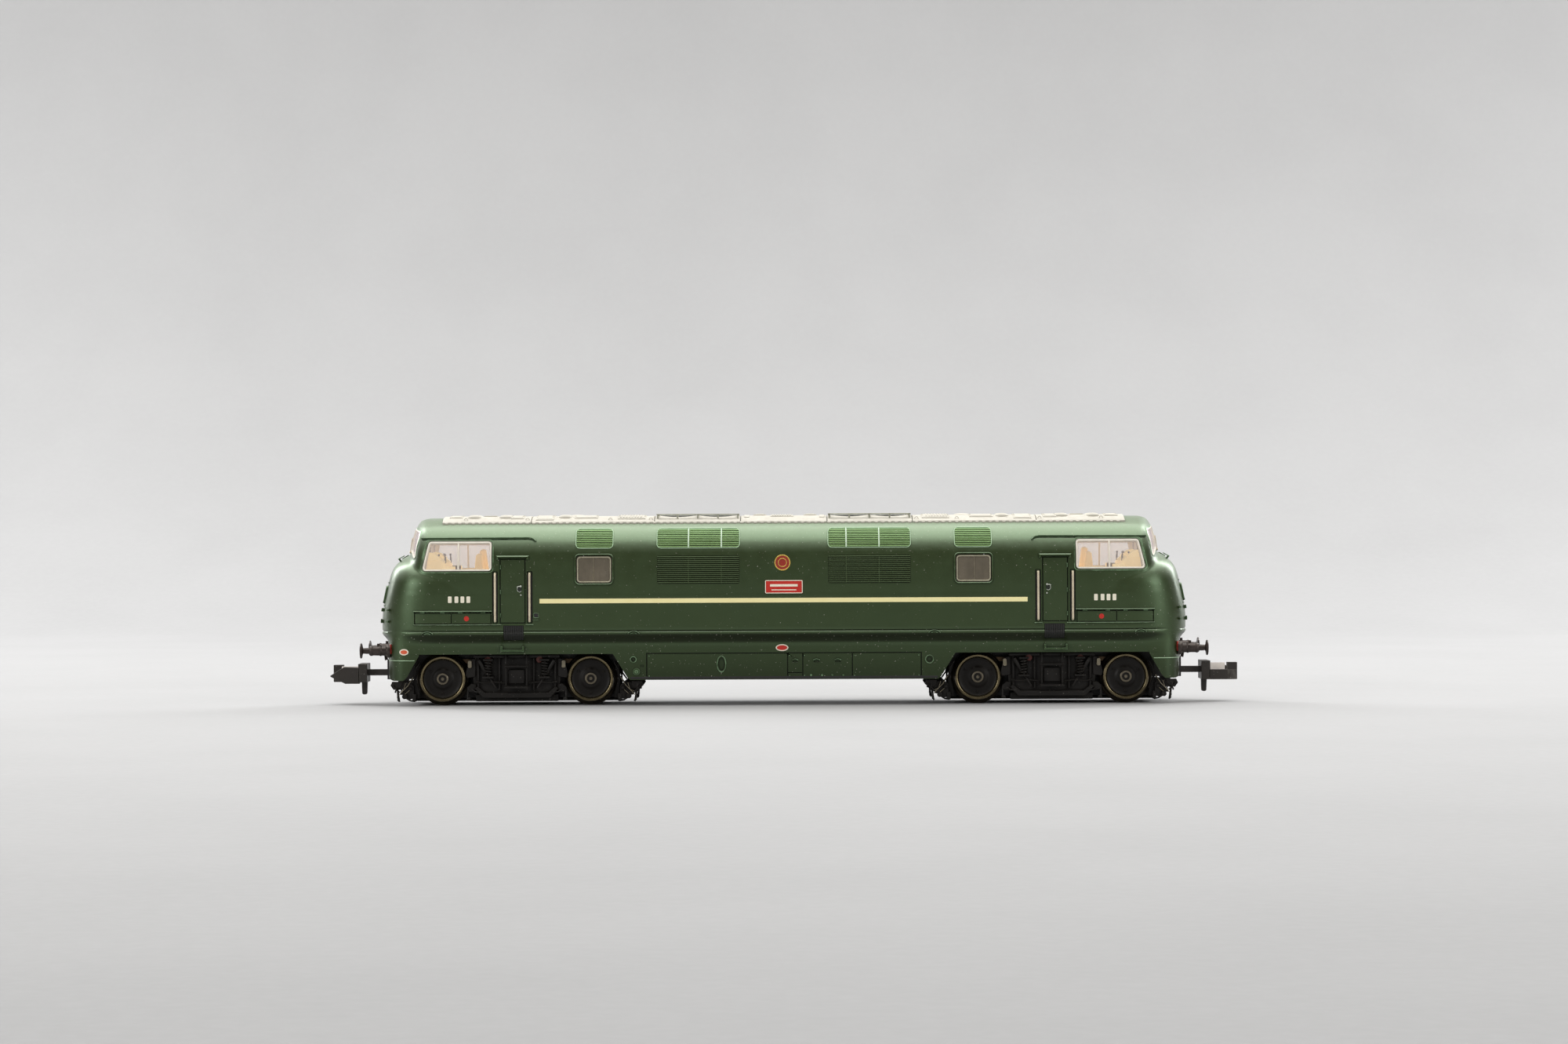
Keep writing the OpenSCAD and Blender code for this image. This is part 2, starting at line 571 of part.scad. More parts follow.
body_shell();
roof_strip();
roof_grille_frames();
cab_glazing(1);  // cab_glazing_1
cab_glazing(2);  // cab_glazing_2
side_window_glazing();
cab_interior(1);  // cab_interior_1
cab_interior(2);  // cab_interior_2
door_handrails();
headcode_glazing();
nameplates();
buffer_beam(1);  // buffer_beam_1
buffer_beam(2);  // buffer_beam_2
buffers(1);  // buffers_1
buffers(2);  // buffers_2
chassis_block();
motor_can();
motor_brush_cap();
shaft_bearings();
circuit_board();
decoder_plug();
led_boards();
chassis_screws();
armature();
motor_shaft();
flywheel(1);  // flywheel_1
flywheel(2);  // flywheel_2
worm(1);  // worm_1
worm(2);  // worm_2
gearbox(1);  // gearbox_1
bogie_frame(1);  // bogie_frame_1
pickup_strips(1);  // pickup_strips_1
gear_pins(1);  // gear_pins_1
worm_wheel(-bogie_x);  // worm_wheel_1
idler(-bogie_x, false);  // idler_gear_1a
idler(-bogie_x, true);  // idler_gear_1b
wheels(-bogie_x - half_wb);  // wheels_1a
axle(-bogie_x - half_wb);  // axle_1a
wheels(-bogie_x + half_wb);  // wheels_1b
axle(-bogie_x + half_wb);  // axle_1b
axle_gear(-bogie_x, false);  // axle_gear_1a
axle_gear(-bogie_x, true);  // axle_gear_1b
coupler(1);  // coupler_1
coupler_spring(1);  // coupler_spring_1
gearbox(2);  // gearbox_2
bogie_frame(2);  // bogie_frame_2
pickup_strips(2);  // pickup_strips_2
gear_pins(2);  // gear_pins_2
worm_wheel(bogie_x);  // worm_wheel_2
idler(bogie_x, false);  // idler_gear_2a
idler(bogie_x, true);  // idler_gear_2b
wheels(bogie_x - half_wb);  // wheels_2a
axle(bogie_x - half_wb);  // axle_2a
wheels(bogie_x + half_wb);  // wheels_2b
axle(bogie_x + half_wb);  // axle_2b
axle_gear(bogie_x, false);  // axle_gear_2a
axle_gear(bogie_x, true);  // axle_gear_2b
coupler(2);  // coupler_2
coupler_spring(2);  // coupler_spring_2
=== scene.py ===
"""Model twin-cab diesel locomotive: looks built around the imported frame. Lengths inside the builders are millimetres."""
import bpy, bmesh, math
import numpy as np
from mathutils import Vector, Matrix


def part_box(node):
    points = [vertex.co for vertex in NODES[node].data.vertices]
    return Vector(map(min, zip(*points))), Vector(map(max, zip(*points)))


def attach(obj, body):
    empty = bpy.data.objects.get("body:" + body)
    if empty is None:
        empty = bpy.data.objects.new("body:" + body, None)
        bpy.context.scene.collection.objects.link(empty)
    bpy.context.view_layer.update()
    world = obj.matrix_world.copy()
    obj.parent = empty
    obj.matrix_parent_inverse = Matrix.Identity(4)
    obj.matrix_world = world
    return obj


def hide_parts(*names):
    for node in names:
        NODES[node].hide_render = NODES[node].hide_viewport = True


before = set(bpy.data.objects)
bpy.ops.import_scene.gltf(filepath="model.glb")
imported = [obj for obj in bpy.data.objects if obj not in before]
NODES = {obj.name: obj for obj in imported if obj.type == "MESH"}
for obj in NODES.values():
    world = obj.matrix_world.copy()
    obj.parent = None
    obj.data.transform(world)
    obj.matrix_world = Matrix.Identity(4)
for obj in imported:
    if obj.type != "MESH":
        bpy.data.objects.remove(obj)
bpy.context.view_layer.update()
MM = 0.001
ROOT = "locomotive_body"

# ---------------------------------------------------------------- camera
cam_data = bpy.data.cameras.new("camera")
cam = bpy.data.objects.new("camera", cam_data)
bpy.context.scene.collection.objects.link(cam)
bpy.context.scene.camera = cam
cam_data.lens, cam_data.sensor_width, cam_data.sensor_fit = 85.0, 36.0, "HORIZONTAL"
cam_data.clip_start, cam_data.clip_end = 0.01, 20.0
cam_data.shift_y = -0.00175
cam.matrix_world = (Matrix.Translation((0.00006, -0.5453, 0.02697))
                    @ Matrix.Rotation(math.radians(90), 4, "X") @ Matrix.Rotation(math.radians(-0.237), 4, "Z"))


# ---------------------------------------------------------------- mesh builders
class Build:
    """Gathers closed pieces, in millimetres, and makes one object of them."""

    def __init__(self):
        self.v, self.f = [], []

    def add(self, verts, faces):
        n = len(self.v)
        self.v += [tuple(float(c) for c in p) for p in verts]
        self.f += [tuple(int(i) + n for i in f) for f in faces]
        return self

    def mapped(self, fn, start=0):
        for i in range(start, len(self.v)):
            self.v[i] = fn(*self.v[i])
        return self

    def mark(self):
        return len(self.v)

    def box(self, x0, x1, y0, y1, z0, z1):
        v = [(x, y, z) for x in (x0, x1) for y in (y0, y1) for z in (z0, z1)]
        return self.add(v, [(0, 1, 3, 2), (4, 6, 7, 5), (0, 4, 5, 1), (2, 3, 7, 6), (0, 2, 6, 4), (1, 5, 7, 3)])

    def prism(self, pts, lo, hi, axis="y"):
        n = len(pts)
        put = {"x": lambda p, t: (t, p[0], p[1]), "y": lambda p, t: (p[0], t, p[1]), "z": lambda p, t: (p[0], p[1], t)}[axis]
        v = [put(p, lo) for p in pts] + [put(p, hi) for p in pts]
        f = [tuple(range(n)), tuple(range(2 * n - 1, n - 1, -1))]
        f += [(i, (i + 1) % n, (i + 1) % n + n, i + n) for i in range(n)]
        return self.add(v, f)

    def lathe(self, prof, at, axis="y", seg=48, sign=1):
        """prof: (radius, distance along axis). A radius of 0 at an end closes it in a point."""
        v, rings = [], []
        for r, a in prof:
            if r < 1e-6:
                rings.append([len(v)]); v.append((0, a, 0))
            else:
                rings.append(list(range(len(v), len(v) + seg)))
                v += [(r * math.cos(2 * math.pi * k / seg), a, r * math.sin(2 * math.pi * k / seg)) for k in range(seg)]
        f = []
        for A, B in zip(rings, rings[1:]):
            for k in range(seg):
                k2 = (k + 1) % seg
                if len(A) == 1 and len(B) == 1:
                    continue
                if len(A) == 1:
                    f.append((A[0], B[k2], B[k]))
                elif len(B) == 1:
                    f.append((A[k], A[k2], B[0]))
                else:
                    f.append((A[k], A[k2], B[k2], B[k]))
        if len(rings[0]) > 1 and prof[0] != prof[-1]:
            f.append(tuple(rings[0]))
        if len(rings[-1]) > 1 and prof[0] != prof[-1]:
            f.append(tuple(reversed(rings[-1])))
        if prof[0] == prof[-1] and len(rings[0]) > 1:
            # a closed ring profile: join the last ring to the first
            last, first = rings[-1][0], rings[0][0]
            f = [tuple((i - last + first) if last <= i < last + seg else i for i in q) for q in f]
        out = []
        for p in v:
            x, a, z = p
            a *= sign
            if axis == "y":
                q = (x, a, z)
            elif axis == "x":
                q = (a, x, z)
            else:
                q = (x, z, a)
            out.append((q[0] + at[0], q[1] + at[1], q[2] + at[2]))
        used = sorted(set(i for q in f for i in q))
        remap = {i: k for k, i in enumerate(used)}
        return self.add([out[i] for i in used], [tuple(remap[i] for i in q) for q in f])

    def tube(self, path, r, seg=8, closed=False):
        P = [Vector(p) for p in path]
        n = len(P)
        rad = r if hasattr(r, "__len__") else [r] * n
        v, f = [], []
        up = None
        for i in range(n):
            a = P[(i - 1) % n] if (closed or i > 0) else P[i]
            b = P[(i + 1) % n] if (closed or i < n - 1) else P[i]
            t = (b - a).normalized()
            if up is None:
                up = Vector((0, 0, 1)) if abs(t.z) < 0.9 else Vector((1, 0, 0))
            s = t.cross(up).normalized()
            up = s.cross(t).normalized()
            for k in range(seg):
                w = 2 * math.pi * k / seg
                v.append(P[i] + (s * math.cos(w) + up * math.sin(w)) * rad[i])
        m = n if closed else n - 1
        for i in range(m):
            j = (i + 1) % n
            for k in range(seg):
                k2 = (k + 1) % seg
                f.append((i * seg + k, i * seg + k2, j * seg + k2, j * seg + k))
        if not closed:
            f += [tuple(range(seg)), tuple(reversed(range((n - 1) * seg, n * seg)))]
        return self.add(v, f)

    def plate(self, outline, d0, d1, rings=3):
        """A flat plate with inner rings of points, so that it can be bent. Points are (a, d, b)."""
        n = len(outline)
        ca = sum(p[0] for p in outline) / n
        cb = sum(p[1] for p in outline) / n
        v, f = [], []
        for d in (d0, d1):
            v.append((ca, d, cb))
            for k in range(1, rings + 1):
                t = k / rings
                v += [(ca + (p[0] - ca) * t, d, cb + (p[1] - cb) * t) for p in outline]
        m = 1 + rings * n
        for L in (0, m):
            for i in range(n):
                j = (i + 1) % n
                f.append((L, L + 1 + i, L + 1 + j) if L == 0 else (L, L + 1 + j, L + 1 + i))
                for k in range(rings - 1):
                    a, b = L + 1 + k * n, L + 1 + (k + 1) * n
                    f.append((a + i, b + i, b + j, a + j) if L == 0 else (a + j, b + j, b + i, a + i))
        a = 1 + (rings - 1) * n
        for i in range(n):
            j = (i + 1) % n
            f.append((a + i, m + a + i, m + a + j, a + j))
        return self.add(v, f)

    def sweep(self, pts, w, d0, d1, closed=True, step=0.6, chamfer=0.0):
        """A flat bar of width w along a line of (a, b) points, from depth d0 to d1. Points are (a, d, b)."""
        P = dense(pts, step, closed)
        n = len(P)
        L, R = [], []
        for i in range(n):
            p = P[i]
            a = P[(i - 1) % n] if (closed or i > 0) else None
            b = P[(i + 1) % n] if (closed or i < n - 1) else None
            ds = []
            if a is not None: ds.append(np.subtract(p, a))
            if b is not None: ds.append(np.subtract(b, p))
            ds = [q / (np.linalg.norm(q) + 1e-12) for q in ds]
            t = sum(ds); t = t / (np.linalg.norm(t) + 1e-12)
            nrm = np.array([-t[1], t[0]])
            k = 1.0 / max(0.5, abs(float(np.dot(nrm, [-ds[0][1], ds[0][0]]))))
            L.append(np.array(p) + nrm * w / 2 * k)
            R.append(np.array(p) - nrm * w / 2 * k)
        v, f = [], []
        for i in range(n):
            l, r = L[i], R[i]
            if chamfer:
                li, ri = l + (r - l) * chamfer, r + (l - r) * chamfer
                dm = d1 - (d1 - d0) * 0.5
                v += [(l[0], d0, l[1]), (l[0], dm, l[1]), (li[0], d1, li[1]), (ri[0], d1, ri[1]), (r[0], dm, r[1]), (r[0], d0, r[1])]
            else:
                v += [(l[0], d0, l[1]), (l[0], d1, l[1]), (r[0], d1, r[1]), (r[0], d0, r[1])]
        c = 6 if chamfer else 4
        for i in range(n if closed else n - 1):
            j = (i + 1) % n
            for k in range(c):
                k2 = (k + 1) % c
                f.append((i * c + k, i * c + k2, j * c + k2, j * c + k))
        if not closed:
            f += [tuple(range(c)), tuple(reversed(range((n - 1) * c, n * c)))]
        return self.add(v, f)

    def obj(self, name, mat, angle=32, bevel=0.0, seg=2, smooth=True):
        me = bpy.data.meshes.new(name)
        me.from_pydata([(x * MM, y * MM, z * MM) for x, y, z in self.v], [], self.f)
        o = bpy.data.objects.new(name, me)
        bpy.context.scene.collection.objects.link(o)
        tidy(o, angle, smooth)
        if mat:
            me.materials.append(mat)
        if bevel:
            add_bevel(o, bevel, seg)
        return o


def add_bevel(o, width, seg=2, angle=38):
    m = o.modifiers.new("bevel", "BEVEL")
    m.width, m.segments, m.limit_method, m.angle_limit = width * MM, seg, "ANGLE", math.radians(angle)
    m.use_clamp_overlap = True
    m.harden_normals = False
    return m


def tidy(o, angle=32, smooth=True, merge=1e-7):
    me = o.data
    bm = bmesh.new(); bm.from_mesh(me)
    if merge:
        bmesh.ops.remove_doubles(bm, verts=bm.verts, dist=merge)
    bmesh.ops.dissolve_degenerate(bm, dist=1e-8, edges=bm.edges)
    bmesh.ops.recalc_face_normals(bm, faces=bm.faces)
    lim = math.radians(angle)
    for fc in bm.faces:
        fc.smooth = smooth
    for e in bm.edges:
        if len(e.link_faces) == 2:
            e.smooth = e.calc_face_angle(0.0) < lim
        else:
            e.smooth = False
    bm.to_mesh(me); bm.free()
    me.update()


def dense(pts, step, closed):
    out = []
    n = len(pts)
    for i in range(n if closed else n - 1):
        a, b = np.array(pts[i], float), np.array(pts[(i + 1) % n], float)
        k = max(1, int(math.ceil(np.linalg.norm(b - a) / step)))
        out += [tuple(a + (b - a) * t / k) for t in range(k)]
    if not closed:
        out.append(tuple(pts[-1]))
    return out


def rounded(pts, r, n=5):
    """Polygon with rounded corners."""
    out, m = [], len(pts)
    for i in range(m):
        p0, p, p1 = (np.array(pts[(i + k) % m], float) for k in (-1, 0, 1))
        rr = r[i] if hasattr(r, "__len__") else r
        a, b = p0 - p, p1 - p
        la, lb = np.linalg.norm(a), np.linalg.norm(b)
        a, b = a / la, b / lb
        ang = math.acos(max(-1, min(1, float(a @ b))))
        t = min(rr / math.tan(ang / 2), la * 0.48, lb * 0.48)
        rr2 = t * math.tan(ang / 2)
        c = p + (a + b) / np.linalg.norm(a + b) * (rr2 / math.sin(ang / 2))
        s, e = p + a * t - c, p + b * t - c
        a0, a1 = math.atan2(s[1], s[0]), math.atan2(e[1], e[0])
        d = (a1 - a0 + math.pi) % (2 * math.pi) - math.pi
        out += [tuple(c + rr2 * np.array([math.cos(a0 + d * k / n), math.sin(a0 + d * k / n)])) for k in range(n + 1)]
    return out


def oval(cx, cz, w, h, n=28):
    return [(cx + w / 2 * math.cos(2 * math.pi * k / n), cz + h / 2 * math.sin(2 * math.pi * k / n)) for k in range(n)]


def rect(x0, x1, z0, z1):
    return [(x0, z0), (x1, z0), (x1, z1), (x0, z1)]


def boolean(o, other, op):
    m = o.modifiers.new("bool", "BOOLEAN")
    m.object, m.operation, m.solver = other, op, "MANIFOLD"
    dg = bpy.context.evaluated_depsgraph_get()
    dg.update()
    ev = o.evaluated_get(dg)
    me = bpy.data.meshes.new_from_object(ev)
    if len(me.vertices) == 0:
        raise RuntimeError("boolean gave nothing: " + o.name + " " + other.name)
    o.modifiers.remove(m)
    old = o.data
    o.data = me
    bpy.data.meshes.remove(old)
    bpy.data.objects.remove(other)


# ---------------------------------------------------------------- the body's surface
def curve(pts, n=24):
    """Smooth curve through points, by chord-length Hermite."""
    P = np.array(pts, float)
    d = np.linalg.norm(np.diff(P, axis=0), axis=1)
    t = np.concatenate([[0], np.cumsum(d)])
    m = np.zeros_like(P)
    m[0] = (P[1] - P[0]) / d[0]
    m[-1] = (P[-1] - P[-2]) / d[-1]
    for i in range(1, len(P) - 1):
        a, b = (P[i] - P[i - 1]) / d[i - 1], (P[i + 1] - P[i]) / d[i]
        m[i] = (a * d[i] + b * d[i - 1]) / (d[i] + d[i - 1])
    out = []
    for i in range(len(P) - 1):
        for k in range(n):
            s = k / n
            h = d[i]
            out.append((2 * s**3 - 3 * s**2 + 1) * P[i] + (s**3 - 2 * s**2 + s) * h * m[i]
                       + (-2 * s**3 + 3 * s**2) * P[i + 1] + (s**3 - s**2) * h * m[i + 1])
    out.append(P[-1])
    return np.array(out)


HW = 9.0
SEC = curve([(9, 9), (9, 12), (9, 15), (9, 18.2), (8.93, 20.2), (8.8, 21.8), (8.5, 23), (7.95, 24.1), (7.1, 25.1), (6, 25.95),
             (4.9, 26.45), (3.4, 26.95), (1.7, 27.23), (0, 27.3)])
NSEC = curve([(9, 9), (9, 12), (9, 14.5), (9, 16.5), (8.85, 18.2), (8.45, 19.3), (7.6, 20.3), (6.2, 21.1), (4.2, 21.65), (2, 21.9), (0, 21.95)])
NPRO = curve([(59, 9), (59, 11.2), (58.95, 13.4), (58.6, 15.4), (58.1, 17.6), (57.75, 19.0), (57.3, 20.05), (56.4, 21.05), (55.6, 21.6), (54.6, 21.95)])
CPRO = curve([(56, 12), (55.42, 17), (54.85, 22), (53.9, 26.1), (53.45, 26.8), (52.6, 27.2), (51.4, 27.3)])
NPLAN = curve([(-0.2, 1), (0, 1), (.267, .983), (.511, .922), (.711, .811), (.856, .656), (.944, .467), (.989, .24), (1, 0)])
CPLAN = curve([(-0.2, 1), (0, 1), (.3125, .984), (.525, .957), (.69, .911), (.79, .833), (.855, .722), (.915, .533), (.966, .278), (1, 0)])


def table(c, a, b):
    o = np.argsort(c[:, a], kind="stable")
    return c[o, a], c[o, b]


WB = table(SEC, 1, 0); WN = table(NSEC, 1, 0); FN = table(NPRO, 1, 0); FC = table(CPRO, 1, 0)
GN = table(NPLAN, 0, 1); GC = table(CPLAN, 0, 1); GNI = table(NPLAN, 1, 0); GCI = table(CPLAN, 1, 0)


def wb(z): return np.interp(z, *WB)
def wn(z): return np.interp(z, WN[0], WN[1], right=0.0)
def fnose(z): return np.interp(z, *FN)
def fcab(z): return np.interp(z, *FC)


def y_cab(x, z):
    """Half width of the cab form at a distance x from the middle."""
    s = (np.abs(x) - 47) / (fcab(z) - 47)
    return np.where(s > 1, -1.0, wb(z) * np.interp(s, *GC, left=1.0))


def y_nose(x, z):
    s = (np.abs(x) - 50) / (fnose(z) - 50)
    return np.where((s > 1) | (z > 21.95), -1.0, wn(z) * np.interp(s, *GN, left=1.0))


# ledge and undercut along the foot of the body: height, inset
LEDGE = np.array([(3.0, 1.0), (9.0, 1.0), (9.2, .95), (9.45, .83), (9.7, .64), (9.95, .42), (10.12, .24), (10.28, .1), (10.42, .02), (10.55, -.02),
                  (10.68, 0.0), (10.76, .05), (10.82, .13), (10.9, .13), (10.98, .02), (11.04, 0.0), (30, 0.0)])


SILL = curve([(44, 8.0), (50, 8.0), (53, 8.0), (54.6, 7.93), (55.8, 7.68), (56.7, 7.12), (57.3, 6.2), (57.62, 5.0), (57.78, 3.4), (57.87, 1.7), (57.9, 0)])


def ledge(z): return np.interp(z, LEDGE[:, 0], LEDGE[:, 1])


def sill_r(phi):
    """Distance from the axis x=44 to the sill face, at azimuth phi."""
    a = np.arctan2(SILL[:, 1], SILL[:, 0] - 44)
    r = np.hypot(SILL[:, 0] - 44, SILL[:, 1])
    o = np.argsort(a)
    return np.interp(phi, a[o], r[o])


def y_side(x, z):
    """Half width of the whole body at x, z."""
    x, z = np.asarray(x, float), np.asarray(z, float)
    zz = np.maximum(z, 11.04)
    y = np.maximum(y_cab(x, zz), y_nose(x, zz))
    o = np.argsort(SILL[:, 0])
    low = np.where(np.abs(x) < 44, 8.0, np.interp(np.abs(x), SILL[o, 0], SILL[o, 1]))
    return y - ledge(z) * (y - low)


def x_front(y, z):
    """Reach of the nose at y, z."""
    q = np.clip(np.abs(y) / np.maximum(wn(z), 1e-6), 0, 1)
    return 50 + (fnose(z) - 50) * np.interp(q, *GNI)


def x_screen(y, z):
    q = np.clip(np.abs(y) / np.maximum(wb(z), 1e-6), 0, 1)
    return 47 + (fcab(z) - 47) * np.interp(q, *GCI)


def ray(fn, phi, c, dz, z0):
    """Distance from the axis x=44 at which a ray leaves the form. Arrays share one shape."""
    lo, hi = np.zeros_like(phi), np.full_like(phi, 24.0)
    for _ in range(46):
        r = (lo + hi) / 2
        x, y, z = 44 + r * c * np.cos(phi), r * c * np.sin(phi), z0 + r * dz
        ok = (z < 27.3) & (y <= fn(x, z) + 1e-9)
        lo, hi = np.where(ok, r, lo), np.where(ok, hi, r)
    return (lo + hi) / 2


def body_grid(step, zl, n_lo, n_hi, inset=0.0):
    """Points of one quarter end: columns from the side (x=44) round to the nose tip, rows from the bottom to the crown."""
    # columns spaced evenly along the plan outline
    s = NPLAN[NPLAN[:, 0] >= 0]
    out = np.vstack([[[44.0, 9.0]], np.stack([50 + s[:, 0] * 9, s[:, 1] * 9], 1)])
    d = np.concatenate([[0], np.cumsum(np.linalg.norm(np.diff(out, axis=0), axis=1))])
    k = int(d[-1] / step)
    t = np.linspace(0, d[-1], k + 1)
    px, py = np.interp(t, d, out[:, 0]), np.interp(t, d, out[:, 1])
    phi = np.arctan2(py, px - 44); phi[0] = math.pi / 2; phi[-1] = 0.0
    cols = []
    ZC = 16.0
    for ph in phi:
        z = np.array(zl)
        f = np.full(len(z), ph)
        r = ray(y_nose, f, np.ones_like(f), np.zeros_like(f), np.maximum(z, 11.04))
        r = r - ledge(z) * (r - float(sill_r(ph))) - inset
        lowpts = np.stack([44 + r * math.cos(ph), r * math.sin(ph), z], 1)
        # crease between hood and screen
        psi = np.radians(np.linspace(0, 60, 241)[1:])
        f = np.full(len(psi), ph)
        rn = ray(y_nose, f, np.cos(psi), np.sin(psi), np.full(len(psi), ZC))
        rc = ray(y_cab, f, np.cos(psi), np.sin(psi), np.full(len(psi), ZC))
        over = np.where(rn > rc + 0.02)[0]
        pc = psi[over[-1]] if len(over) and ph < math.radians(44) else None
        cols.append((ph, lowpts, pc))
    known = [(c[0], c[2]) for c in cols if c[2] is not None]
    xs = np.array([a for a, b in known][::-1] + [math.radians(60), math.radians(90)])
    ys = np.array([b for a, b in known][::-1] + [known[0][1] * 0.97, known[0][1] * 0.95])
    grid = []
    for ph, lowpts, pc in cols:
        c = float(np.interp(ph, xs, ys))
        psi = np.concatenate([np.linspace(0, c, n_lo + 1)[1:], c + (math.pi / 2 - c) * (np.linspace(0, 1, n_hi + 1)[1:])])
        psi[-1] = math.pi / 2
        f = np.full(len(psi), ph)
        z0 = np.full(len(psi), ZC)
        rn = ray(y_nose, f, np.cos(psi), np.sin(psi), z0)
        rc = ray(y_cab, f, np.cos(psi), np.sin(psi), z0)
        k = 0.34 * max(0.0, min(1.0, (math.radians(46) - ph) / math.radians(12)))
        r = 0.5 * (rn + rc + np.sqrt((rn - rc) ** 2 + k * k)) if k > 0 else np.maximum(rn, rc)
        if k > 0:
            # keep the fillet near the crease only
            far = np.clip(np.abs(rn - rc) / 1.2, 0, 1)
            r = r * (1 - far) + np.maximum(rn, rc) * far
        r = r - inset
        hi = np.stack([44 + r * np.cos(psi) * math.cos(ph), r * np.cos(psi) * math.sin(ph), ZC + r * np.sin(psi)], 1)
        grid.append(np.vstack([lowpts, hi]))
    return np.array(grid)  # [col][row][xyz]


def body_solid(name, step, zl, n_lo, n_hi, inset=0.0, xstep=2.0):
    q = body_grid(step, zl, n_lo, n_hi, inset)
    qn = q * np.array([1, -1, 1])
    end_p = np.concatenate([q, qn[::-1][1:]])                     # +y side round the nose to -y side
    mx = np.arange(44 - xstep, -44 + xstep / 2, -xstep)
    side = [np.stack([np.full(q.shape[1], x), qn[0][:, 1], qn[0][:, 2]], 1) for x in mx]
    end_m = end_p * np.array([-1, -1, 1])
    side2 = [np.stack([np.full(q.shape[1], -x), q[0][:, 1], q[0][:, 2]], 1) for x in mx]
    cols = list(end_p) + side + list(end_m) + side2
    C, R = len(cols), q.shape[1]
    v = np.concatenate(cols)
    f = []
    for c in range(C):
        d = (c + 1) % C
        for r in range(R - 1):
            f.append((c * R + r, d * R + r, d * R + r + 1, c * R + r + 1))
    f.append(tuple(c * R for c in range(C))[::-1])
    b = Build(); b.add(v, f)
    return b.obj(name, None, 40)


def side_point(a, d, b):
    """A point standing d proud of the body side at x=a, height b, on the +y side."""
    y = float(y_side(a, b))
    e = 0.02
    if b <= 11.04:
        return (a, y + d, b)
    nx = -(float(y_side(a + e, b)) - float(y_side(a - e, b))) / (2 * e)
    nz = -(float(y_side(a, b + e)) - float(y_side(a, b - e))) / (2 * e)
    nx, nz = max(-6, min(6, nx)), max(-6, min(6, nz))
    n = math.sqrt(1 + nx * nx + nz * nz)
    return (a + d * nx / n, y + d / n, b + d * nz / n)


def nose_point(a, d, b):
    """A point standing d proud of the nose front at y=a, height b, at the +x end."""
    e = 0.02
    x = float(x_front(a, b))
    ny = -(float(x_front(a + e, b)) - float(x_front(a - e, b))) / (2 * e)
    nz = -(float(x_front(a, b + e)) - float(x_front(a, b - e))) / (2 * e)
    n = math.sqrt(1 + ny * ny + nz * nz)
    return (x + d / n, a + d * ny / n, b + d * nz / n)


def screen_point(a, d, b):
    e = 0.02
    x = float(x_screen(a, b))
    ny = -(float(x_screen(a + e, b)) - float(x_screen(a - e, b))) / (2 * e)
    nz = -(float(x_screen(a, b + e)) - float(x_screen(a, b - e))) / (2 * e)
    n = math.sqrt(1 + ny * ny + nz * nz)
    return (x + d / n, a + d * ny / n, b + d * nz / n)


def roof_point(a, d, b):
    """A point standing d proud of the crown at x=a, y=b."""
    z = float(np.interp(abs(b), SEC[::-1, 0], SEC[::-1, 1]))
    z0 = float(np.interp(abs(b) + .05, SEC[::-1, 0], SEC[::-1, 1]))
    n = (z - z0) / .05
    k = math.sqrt(1 + n * n)
    return (a, b + math.copysign(d * n / k, b), z + d / k)


def spread(build, made, fn, sx=(1, -1), sy=(1, -1)):
    """Copies a small Build onto the body through fn, once for each end and side asked for."""
    pts = [fn(*p) for p in made.v]
    for x in sx:
        for y in sy:
            build.add([(p[0] * x, p[1] * y, p[2]) for p in pts], made.f)
    return build


# ---------------------------------------------------------------- materials
def lin(c):
    c /= 255.0
    return c / 12.92 if c <= 0.04045 else ((c + 0.055) / 1.055) ** 2.4


def col(c):
    return (lin(c[0]), lin(c[1]), lin(c[2]), 1.0)


